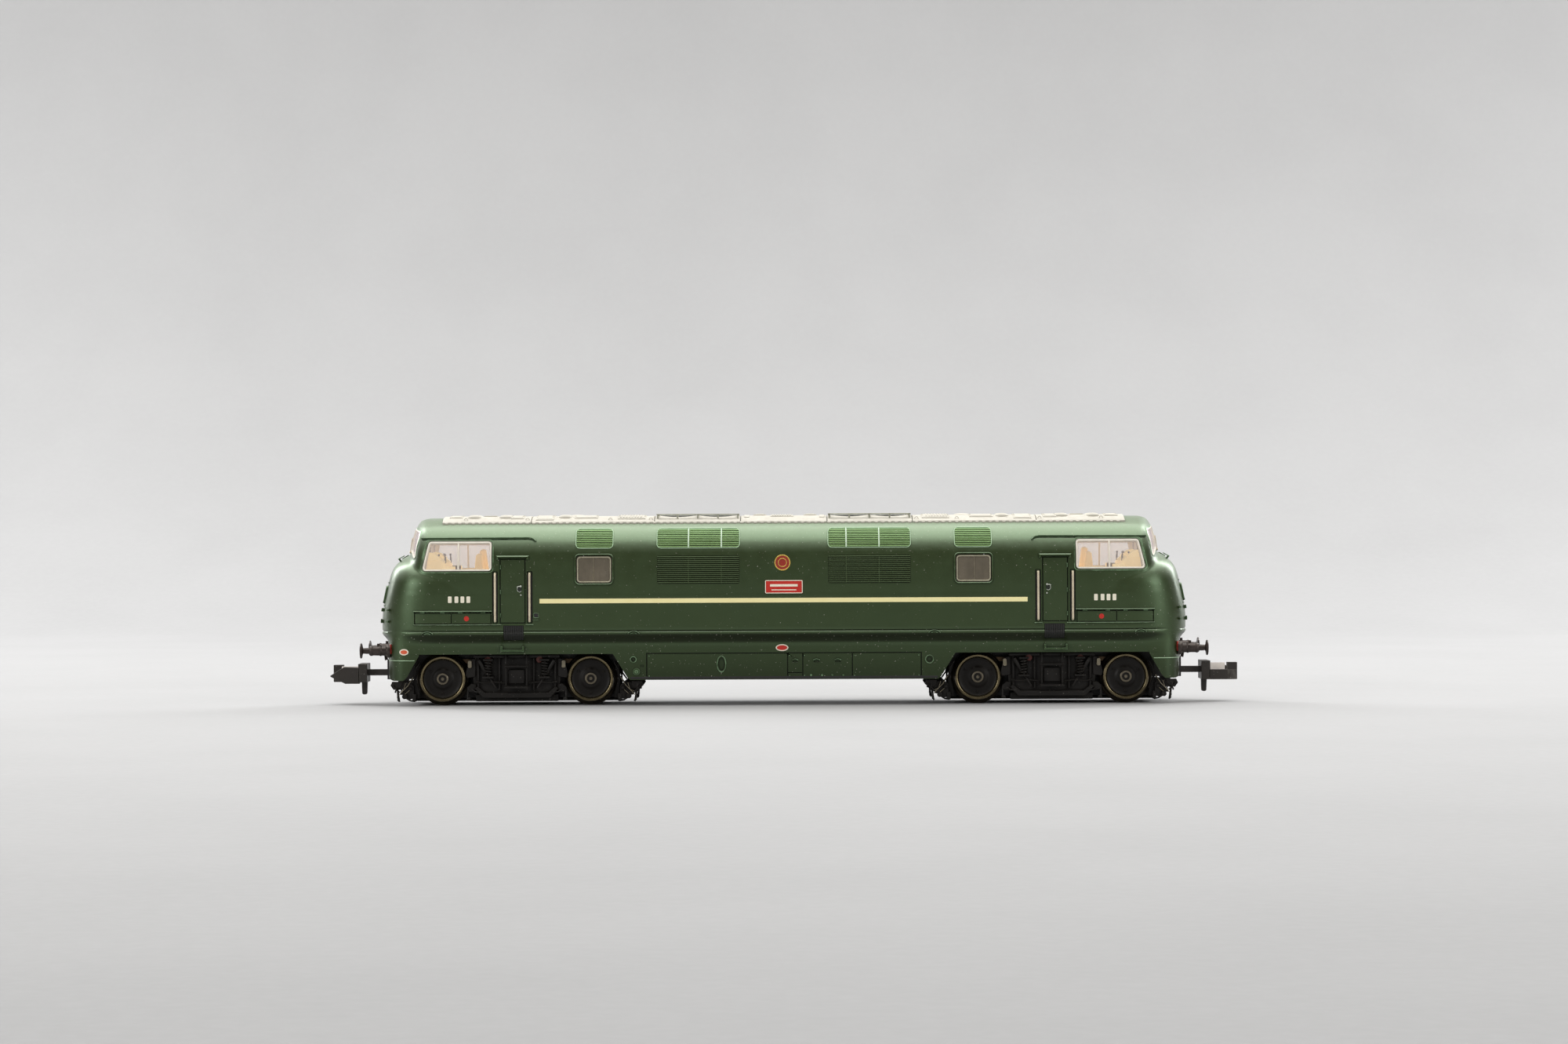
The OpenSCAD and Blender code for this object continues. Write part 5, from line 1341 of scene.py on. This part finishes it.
# ---------------------------------------------------------------- bogies
def boggle(k, sx):
    """Everything on one bogie, drawn about its own middle and moved to the pivot."""
    cx = 39.0 * sx

    def at(b):
        n = Build(); n.v = [(cx + p[0] * sx, p[1], p[2]) for p in b.v]; n.f = b.f
        return n
    A = Build()
    A.box(-15.2, 15.2, -2.2, 2.2, 0.55, 0.88)
    for s in (1, -1):
        A.box(14.75 * s, 15.25 * s, -5.4, 5.4, 0.6, 1.7)
    for y in (1, -1):
        A.box(-6.0, 6.0, 2.1 * y, 4.9 * y, 0.6, 1.55)
        # main side plate
        A.prism(rounded([(-5.4, 1.5), (5.4, 1.5), (6.2, 2.4), (6.5, 5.2), (6.1, 7.25), (-6.1, 7.25), (-6.5, 5.2), (-6.2, 2.4)], .3, 4), 4.75 * y, 5.35 * y, "y")
        # lower bar with turned up ends, and its lip
        A.prism(rounded([(-6.1, 2.5), (-4.9, 1.12), (4.9, 1.12), (6.1, 2.5), (5.7, 2.75), (4.6, 1.85), (-4.6, 1.85), (-5.7, 2.75)], .15, 3), 5.2 * y, 6.0 * y, "y")
        A.prism(rounded([(-6.3, 7.35), (6.3, 7.35), (6.3, 6.95), (-6.3, 6.95)], .1, 2), 5.2 * y, 6.0 * y, "y")
        # stiffening ribs
        for x in (-5.6, -2.5, 2.5, 5.6):
            A.box(x - .14, x + .14, 5.2 * y, 5.75 * y, 2.2, 7.1)
        # spring planks
        for x in (-4.1, 4.1):
            A.box(x - .8, x + .8, 5.3 * y, 6.5 * y, 3.95, 4.25)
            A.box(x - .7, x + .7, 5.3 * y, 6.45 * y, 6.5, 6.8)
        # cab steps hung at the middle
        for x in (-1.5, 1.5):
            A.box(x - .13, x + .13, 6.05 * y, 6.45 * y, 2.7, 7.4)
            A.box(x - .13, x + .13, 5.3 * y, 6.3 * y, 6.95, 7.3)
            A.box(x - .13, x + .13, 5.3 * y, 6.3 * y, 2.9, 3.2)
        A.box(-1.72, 1.72, 5.95 * y, 6.72 * y, 5.6, 5.85)
        A.box(-1.72, 1.72, 5.95 * y, 6.72 * y, 2.5, 2.78)
        A.box(-1.2, 1.2, 5.3 * y, 5.9 * y, 3.2, 5.2)
        # horn guides and axlebox arms towards the wheels
        for s in (1, -1):
            A.prism([(x * s, z) for x, z in rounded([(6.0, 4.2), (7.3, 4.0), (7.5, 4.5), (7.2, 5.6), (6.9, 6.7), (6.0, 6.9)], .2, 3)], 4.8 * y, 5.5 * y, "y")
            A.prism([(x * s, z) for x, z in rounded([(5.9, 1.9), (7.0, 2.0), (7.3, 2.6), (6.6, 3.2), (5.9, 3.1)], .15, 3)], 4.8 * y, 5.5 * y, "y")
        # end brackets: guard irons, sand pipes, brake hangers
        for s in (1, -1):
            A.prism([(x * s, z) for x, z in rounded([(15.0, 1.1), (15.7, 0.85), (16.5, 1.2), (16.7, 2.5), (15.9, 3.6), (15.1, 2.9)], .15, 3)], 4.45 * y, 5.25 * y, "y")
            A.prism([(x * s, z) for x, z in rounded([(15.9, 3.3), (16.6, 2.4), (17.35, 2.3), (17.1, 0.75), (17.45, 0.6), (17.6, 2.6), (16.6, 3.3)], .08, 2)], 4.5 * y, 5.1 * y, "y")
            A.box(16.3 * s, 17.0 * s, 4.5 * y, 5.5 * y, 1.6, 2.0)
            A.prism([(x * s, z) for x, z in rounded([(16.7, 3.45), (18.2, 3.5), (18.45, 2.95), (18.0, 2.3), (17.3, 2.45), (16.8, 2.9)], .1, 3)], 4.6 * y, 5.2 * y, "y")
            A.prism([(x * s, z) for x, z in rounded([(14.2, 1.0), (15.0, 1.0), (15.0, 5.9), (14.6, 6.1), (14.3, 5.4), (14.75, 3.9), (14.2, 1.9)], .12, 3)], 4.4 * y, 4.75 * y, "y")
            A.lathe([(0, 0), (.34, 0), (.38, .1), (.38, .5), (.3, .62), (0, .64)], (16.35 * s, 5.2 * y, 1.35), "y", 16, y)
            A.lathe([(0, 0), (.26, 0), (.26, .4), (.16, .5), (0, .5)], (15.5 * s, 5.2 * y, 2.5), "y", 14, y)
    o = done(at(A), "bogie_frame_skin_%d" % k, "black", "bogie_%d" % k, node="bogie_frame_%d" % k, slot="bogie_black", bevel=.07, seg=2, angle=35)
    # round and wire parts
    P = Build()
    for y in (1, -1):
        for x in (-4.1, 4.1):
            P.tube([(x + .46 * math.cos(t), 6.0 * y + .46 * math.sin(t) * .9, 4.3 + 2.2 * t / (2 * math.pi * 5.5)) for t in np.linspace(0, 2 * math.pi * 5.5, 78)], .13, 6)
            P.lathe([(0, 4.2), (.26, 4.2), (.26, 6.6), (0, 6.6)], (x, 6.0 * y, 0), "z", 14)
        for s in (1, -1):
            # dampers
            a, c = Vector((5.5 * s, 5.95 * y, 6.6)), Vector((3.0 * s, 5.85 * y, 2.5))
            P.tube([a, a.lerp(c, .45)], .3, 12)
            P.tube([a.lerp(c, .4), a.lerp(c, .98)], .17, 10)
            # pipes
            P.tube([(5.9 * s, 5.9 * y, 3.5), (5.0 * s, 6.0 * y, 3.3), (3.4 * s, 5.95 * y, 3.45), (1.8 * s, 5.9 * y, 3.3)], .11, 8)
            P.tube([(6.6 * s, 5.3 * y, 2.4), (6.0 * s, 5.75 * y, 2.0), (5.2 * s, 5.95 * y, 2.0)], .11, 8)
            P.tube([(15.6 * s, 5.0 * y, 3.4), (15.0 * s, 5.2 * y, 4.2), (14.75 * s, 5.25 * y, 5.3), (14.2 * s, 5.2 * y, 6.2)], .12, 8)
            P.tube([(16.9 * s, 4.9 * y, 2.4), (16.5 * s, 5.2 * y, 1.3), (15.6 * s, 5.1 * y, .75), (14.9 * s, 5.0 * y, .62)], .12, 8)
            P.tube([(17.3 * s, 5.0 * y, 2.2), (17.4 * s, 5.0 * y, 1.2), (17.15 * s, 5.0 * y, .55)], .14, 8)
            P.tube([(7.1 * s, 5.3 * y, 2.5), (7.2 * s, 5.3 * y, 1.3), (6.9 * s, 5.3 * y, .75)], .14, 8)
            P.lathe([(0, -.2), (.3, -.15), (.34, 0), (.3, .2), (0, .24)], (7.05 * s, 5.3 * y, .95), "z", 12)
            P.tube([(18.2 * s, 4.9 * y, 3.4), (18.0 * s, 5.35 * y, 2.8), (17.5 * s, 5.4 * y, 2.3), (17.1 * s, 5.4 * y, 1.9)], .12, 8)
            P.tube([(17.6 * s, 4.9 * y, 3.4), (17.6 * s, 5.3 * y, 2.4), (17.75 * s, 5.3 * y, 1.9)], .12, 8)
    done(at(P), "bogie_pipes_%d" % k, "black", "bogie_%d" % k, slot="bogie_black", angle=40)
    Q = Build()
    for y in (1, -1):
        for x in (-3.35, 4.15):
            Q.lathe([(0, 5.2), (.5, 5.2), (.5, 5.9), (.4, 6.02), (0, 6.04)], (x, 0, 6.72), "y", 18, y)
    done(at(Q), "bogie_caps_%d" % k, "rust", "bogie_%d" % k, slot="bogie_black", angle=35)
    # pale wires and pads at the bogie ends and beside the horn guides: painted glints as well as wear
    Q = Build()
    for y in (1, -1):
        for s in (1, -1):
            Q.tube([(15.15 * s, 5.42 * y, 4.1), (15.9 * s, 5.5 * y, 2.9), (16.7 * s, 5.52 * y, 2.1), (17.2 * s, 5.45 * y, 1.5)], .065, 6)
            Q.tube([(16.2 * s, 5.5 * y, 3.3), (16.5 * s, 5.56 * y, 2.3), (17.3 * s, 5.4 * y, 1.95)], .055, 6)
            Q.tube([(15.5 * s, 5.35 * y, 2.4), (16.3 * s, 5.55 * y, 1.7), (16.5 * s, 5.5 * y, 1.1)], .055, 6)
            Q.prism([(x * s, z) for x, z in rounded([(6.55, 5.5), (7.1, 5.5), (7.1, 6.55), (6.6, 6.55)], .18, 3)], 5.3 * y, 5.75 * y, "y")
    done(at(Q), "bogie_worn_pads_%d" % k, "worn_and_glint", "bogie_%d" % k, slot="bogie_black", angle=35, bevel=.05)


for k, sx in ((1, -1), (2, 1)):
    boggle(k, sx)

# wheels
for k, sx in ((1, -1), (2, 1)):
    for a, lx in (("a", -10.8), ("b", 10.8)):
        node = "wheels_%d%s" % (k, a)
        lo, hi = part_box(node)
        cx = (lo.x + hi.x) / 2 / MM
        T = Build(); C = Build(); H = Build(); F = Build()
        for y in (1, -1):
            T.lathe([(2.78, 1.2), (3.34, 1.2), (3.33, 1.9), (3.29, 2.03), (3.2, 2.1), (3.04, 2.1), (2.95, 2.05), (2.9, 1.92), (2.84, 1.8), (2.78, 1.7), (2.78, 1.2)],
                    (cx, 3.7 * y, 3.9), "y", 96, y)
            F.lathe([(2.74, .05), (3.6, .0), (3.82, .1), (3.9, .2), (3.88, .32), (3.74, .46), (3.5, .56), (3.4, .72), (3.36, 1.22), (2.74, 1.22), (2.74, .05)],
                    (cx, 3.7 * y, 3.9), "y", 96, y)
            C.lathe([(0, 0), (2.76, .06), (2.8, 1.62), (2.74, 1.72), (2.62, 1.66), (2.4, 1.58), (1.75, 1.56), (1.55, 1.62), (1.42, 1.74), (1.25, 1.82), (1.02, 1.84), (.9, 1.86), (.86, 1.92),
                     (.6, 1.95), (0, 1.96)], (cx, 3.7 * y, 3.9), "y", 72, y)
            for q in range(3):
                t = q * 2 * math.pi / 3 + .5
                C.lathe([(0, 1.5), (.16, 1.5), (.16, 1.7), (.1, 1.76), (0, 1.77)], (cx + 2.1 * math.cos(t), 3.7 * y, 3.9 + 2.1 * math.sin(t)), "y", 12, y)
            H.lathe([(.58, 1.9), (.82, 1.9), (.84, 1.99), (.78, 2.03), (.6, 2.02), (.58, 1.9)], (cx, 3.7 * y, 3.9), "y", 40, y)
            H.lathe([(0, 1.9), (.24, 1.92), (.22, 2.0), (0, 2.03)], (cx, 3.7 * y, 3.9), "y", 20, y)
        body = "wheelset_%d%s" % (k, a)
        done(T, "tyres_%d%s" % (k, a), "rim", body, node=node, slot="wheel_metal", angle=35)
        done(F, "flanges_%d%s" % (k, a), "flange", body, slot="wheel_metal", angle=35)
        done(C, "wheel_discs_%d%s" % (k, a), "wheel", body, slot="wheel_metal", angle=35)
        done(H, "wheel_hubs_%d%s" % (k, a), "hub", body, slot="wheel_metal", angle=35)

# couplers
for k, sx in ((1, -1), (2, 1)):
    C = Build(); D = Build()
    s = sx
    def bx(b, x0, x1, y0, y1, z0, z1):
        b.box(x0 * s, x1 * s, y0 * s, y1 * s, z0, z1)
    bx(C, 55.3, 61.4, -.6, .6, 4.25, 5.15)
    bx(C, 61.2, 62.5, -2.3, 2.3, 3.3, 6.0)
    C.prism([(x * s, z) for x, z in rounded([(61.42, 1.45), (62.12, 1.45), (62.2, 3.6), (61.35, 3.6)], [.25, .25, .05, .05], 4)], -.4, .4, "y")
    C.prism([(x * s, y * s) for x, y in rounded([(62.3, -2.3), (66.4, -2.3), (66.4, -.5), (65.0, -.5), (65.0, -1.1), (62.3, -1.1)], [.05, .15, .15, .1, .1, .05], 3)], 3.25, 4.7, "z")
    bx(C, 65.04, 66.44, -2.26, -.54, 3.3, 5.75)
    C.prism([(x * s, z) for x, z in rounded([(62.3, 3.1), (64.4, 3.1), (66.58, 4.15), (66.58, 4.3), (64.6, 5.55), (62.3, 5.45)], [.05, .3, .08, .08, .3, .05], 3)], 1.1 * s, 2.3 * s, "y")
    bx(C, 63.2, 65.0, -1.2, 1.2, 3.4, 4.2)
    bx(C, 55.4, 56.9, -.66, .66, 4.1, 5.3)
    # pale, faintly glowing face on the hook: painted highlight
    F = Build()
    F.prism([(x * s, z) for x, z in rounded([(62.55, 4.25), (65.02, 4.25), (65.02, 5.6), (62.55, 5.6)], [.05, .05, .08, .08], 3)], .98 * s, 1.14 * s, "y")
    done(F, "hook_face_%d" % k, "pad", "coupler_body_%d" % k, slot="coupler_black", angle=35)
    done(C, "hook_%d" % k, "coupler", "coupler_body_%d" % k, node="coupler_%d" % k, slot="coupler_black", bevel=.1, seg=3, angle=35)

# ---------------------------------------------------------------- finishes on the CAD pieces that stay
CADMAT = {
    "chassis_block": material("die_casting", (64, 62, 60), (48, 46, 45), rough=0.5, rvar=0.1, metal=0.6, patch=2.0, grain=0.15, bump=0.006, grime_and_shade=0.4, reach=0.6, edge=0.3, edge_col=(140, 138, 134)),
    "motor_can": material("motor_can_steel", (176, 176, 178), (148, 148, 150), rough=0.28, metal=1.0, patch=2.0, grain=0.1, bump=0.001, streak=(.2, 4, 4), grime_and_shade=0.2),
    "motor_brush_cap": material("brush_cap_nylon", (226, 224, 216), (206, 204, 196), rough=0.45, patch=1.5, grain=0.12, bump=0.002, grime_and_shade=0.3),
    "shaft_bearings": material("sintered_bronze", (176, 132, 76), (138, 100, 56), rough=0.42, metal=0.9, patch=0.5, grain=0.06, bump=0.003),
    "circuit_board": material("board", (34, 92, 52), (26, 74, 42), rough=0.32, patch=2.5, mix=0.5, grain=0.3, bump=0.004, grime_and_shade=0.2),
    "decoder_plug": material("decoder_sleeve", (44, 62, 128), (34, 50, 108), rough=0.3, patch=2.0, grain=0.4, bump=0.01, coat=0.4),
    "led_boards": material("led_board", (220, 218, 208), (196, 194, 184), rough=0.4, patch=1.5, grain=0.1, bump=0.002, grime_and_shade=0.3),
    "chassis_screws": material("plated_screw", (178, 178, 176), (140, 140, 138), rough=0.3, metal=1.0, patch=0.5, grain=0.06, bump=0.001, grime_and_shade=0.4, reach=0.2),
    "armature": material("armature_winding", (150, 82, 44), (108, 58, 32), rough=0.34, metal=0.8, patch=0.5, grain=0.1, bump=0.012, streak=(6, .3, .3)),
    "shaft": material("ground_shaft", (186, 186, 188), (160, 160, 162), rough=0.2, metal=1.0, patch=0.8, grain=0.05, bump=0.0008, streak=(.2, 3, 3)),
    "brass": material("turned_brass", (200, 164, 90), (168, 134, 68), rough=0.26, metal=1.0, patch=0.8, grain=0.06, bump=0.0012, streak=(5, .3, .3)),
    "gearbox": material("gearbox_moulding", (40, 38, 36), (30, 28, 27), rough=0.5, rvar=0.1, patch=1.6, grain=0.1, bump=0.004, dust_and_sheen=0.25, dust_and_sheen_col=(112, 104, 96), grime_and_shade=0.3, reach=0.4),
    "pickup": material("phosphor_bronze", (88, 72, 56), (68, 56, 44), rough=0.42, metal=1.0, patch=0.8, grain=0.06, bump=0.001, streak=(.3, 4, 4)),
    "gear": material("acetal_gear", (226, 222, 204), (208, 204, 186), rough=0.38, patch=1.0, grain=0.1, bump=0.002, grime_and_shade=0.5, reach=0.25, grime_and_shade_col=(70, 60, 44)),
    "spring": material("spring_wire", (168, 168, 170), (132, 132, 134), rough=0.25, metal=1.0, patch=0.3, grain=0.04, bump=0.0006),
}


def finish_of(n):
    for k in ("chassis_block", "motor_can", "motor_brush_cap", "shaft_bearings", "circuit_board", "decoder_plug", "led_boards", "chassis_screws", "armature"):
        if n == k: return k
    if n == "motor_shaft" or n.startswith("axle_1") or n.startswith("axle_2") or n.startswith("gear_pins"): return "shaft"
    if n.startswith("flywheel") or n.startswith("worm_1") or n.startswith("worm_2"): return "brass"
    if n.startswith("gearbox"): return "gearbox"
    if n.startswith("pickup"): return "pickup"
    if n.startswith("coupler_spring"): return "spring"
    if n.startswith(("idler_gear", "axle_gear", "worm_wheel")): return "gear"
    return None


for n, o in NODES.items():
    k = finish_of(n)
    if k:
        if o.material_slots:
            for s in o.material_slots:
                s.material = CADMAT[k]
        else:
            o.data.materials.append(CADMAT[k])


# ---------------------------------------------------------------- floor and light
def stage():
    b = Build()
    prof = [(-900, 0.0)] + [(300.0, 0.0)] + [(300 + 200 * math.sin(t), 200 - 200 * math.cos(t)) for t in np.linspace(0.1, math.pi / 2, 14)] + [(500, 1400)]
    n = len(prof)
    v = [(x, y, z + FLOOR) for x in (-2600, 2600) for y, z in prof]
    f = [(i, i + 1, n + i + 1, n + i) for i in range(n - 1)]
    b.add(v, f)
    o = b.obj("floor", None, 60)
    m = material("pale_floor", (163, 163, 164), (158, 158, 159), rough=0.9, patch=40, grain=0.6, bump=0.0)
    o.data.materials.append(m)
    w = bpy.data.worlds.new("world"); bpy.context.scene.world = w
    w.use_nodes = True
    w.node_tree.nodes["Background"].inputs[0].default_value = (0.91, 0.89, 0.85, 1)
    w.node_tree.nodes["Background"].inputs[1].default_value = 0.26

    def area(name, loc, target, size, power, color=(1, 1, 1)):
        d = bpy.data.lights.new(name, "AREA")
        d.shape, d.size, d.size_y, d.energy, d.color = "RECTANGLE", size[0], size[1], power, color
        o = bpy.data.objects.new(name, d)
        bpy.context.scene.collection.objects.link(o)
        o.location = loc
        o.rotation_euler = (Vector(target) - Vector(loc)).to_track_quat("-Z", "Y").to_euler()
        return o

    area("overhead", (0, 0.03, 0.5), (0, 0.03, 0.0), (0.9, 0.62), 5.2, (1.0, 0.99, 0.965))
    area("front_left", (-0.62, -0.52, 0.24), (0, 0, 0.012), (0.34, 0.3), 1.7, (1.0, 0.99, 0.965))
    area("front_right", (0.62, -0.52, 0.24), (0, 0, 0.012), (0.34, 0.3), 1.5, (1.0, 0.99, 0.965))
    area("rim_left", (-0.5, 0.42, 0.34), (-0.05, 0, 0.015), (0.12, 0.56), 3.4, (1.0, 1.0, 1.0))
    area("rim_right", (0.5, 0.42, 0.34), (0.05, 0, 0.015), (0.12, 0.56), 3.4, (1.0, 1.0, 1.0))


FLOOR = 0.0
stage()
bpy.context.scene.view_settings.view_transform = "Standard"
bpy.context.scene.view_settings.look = "None"
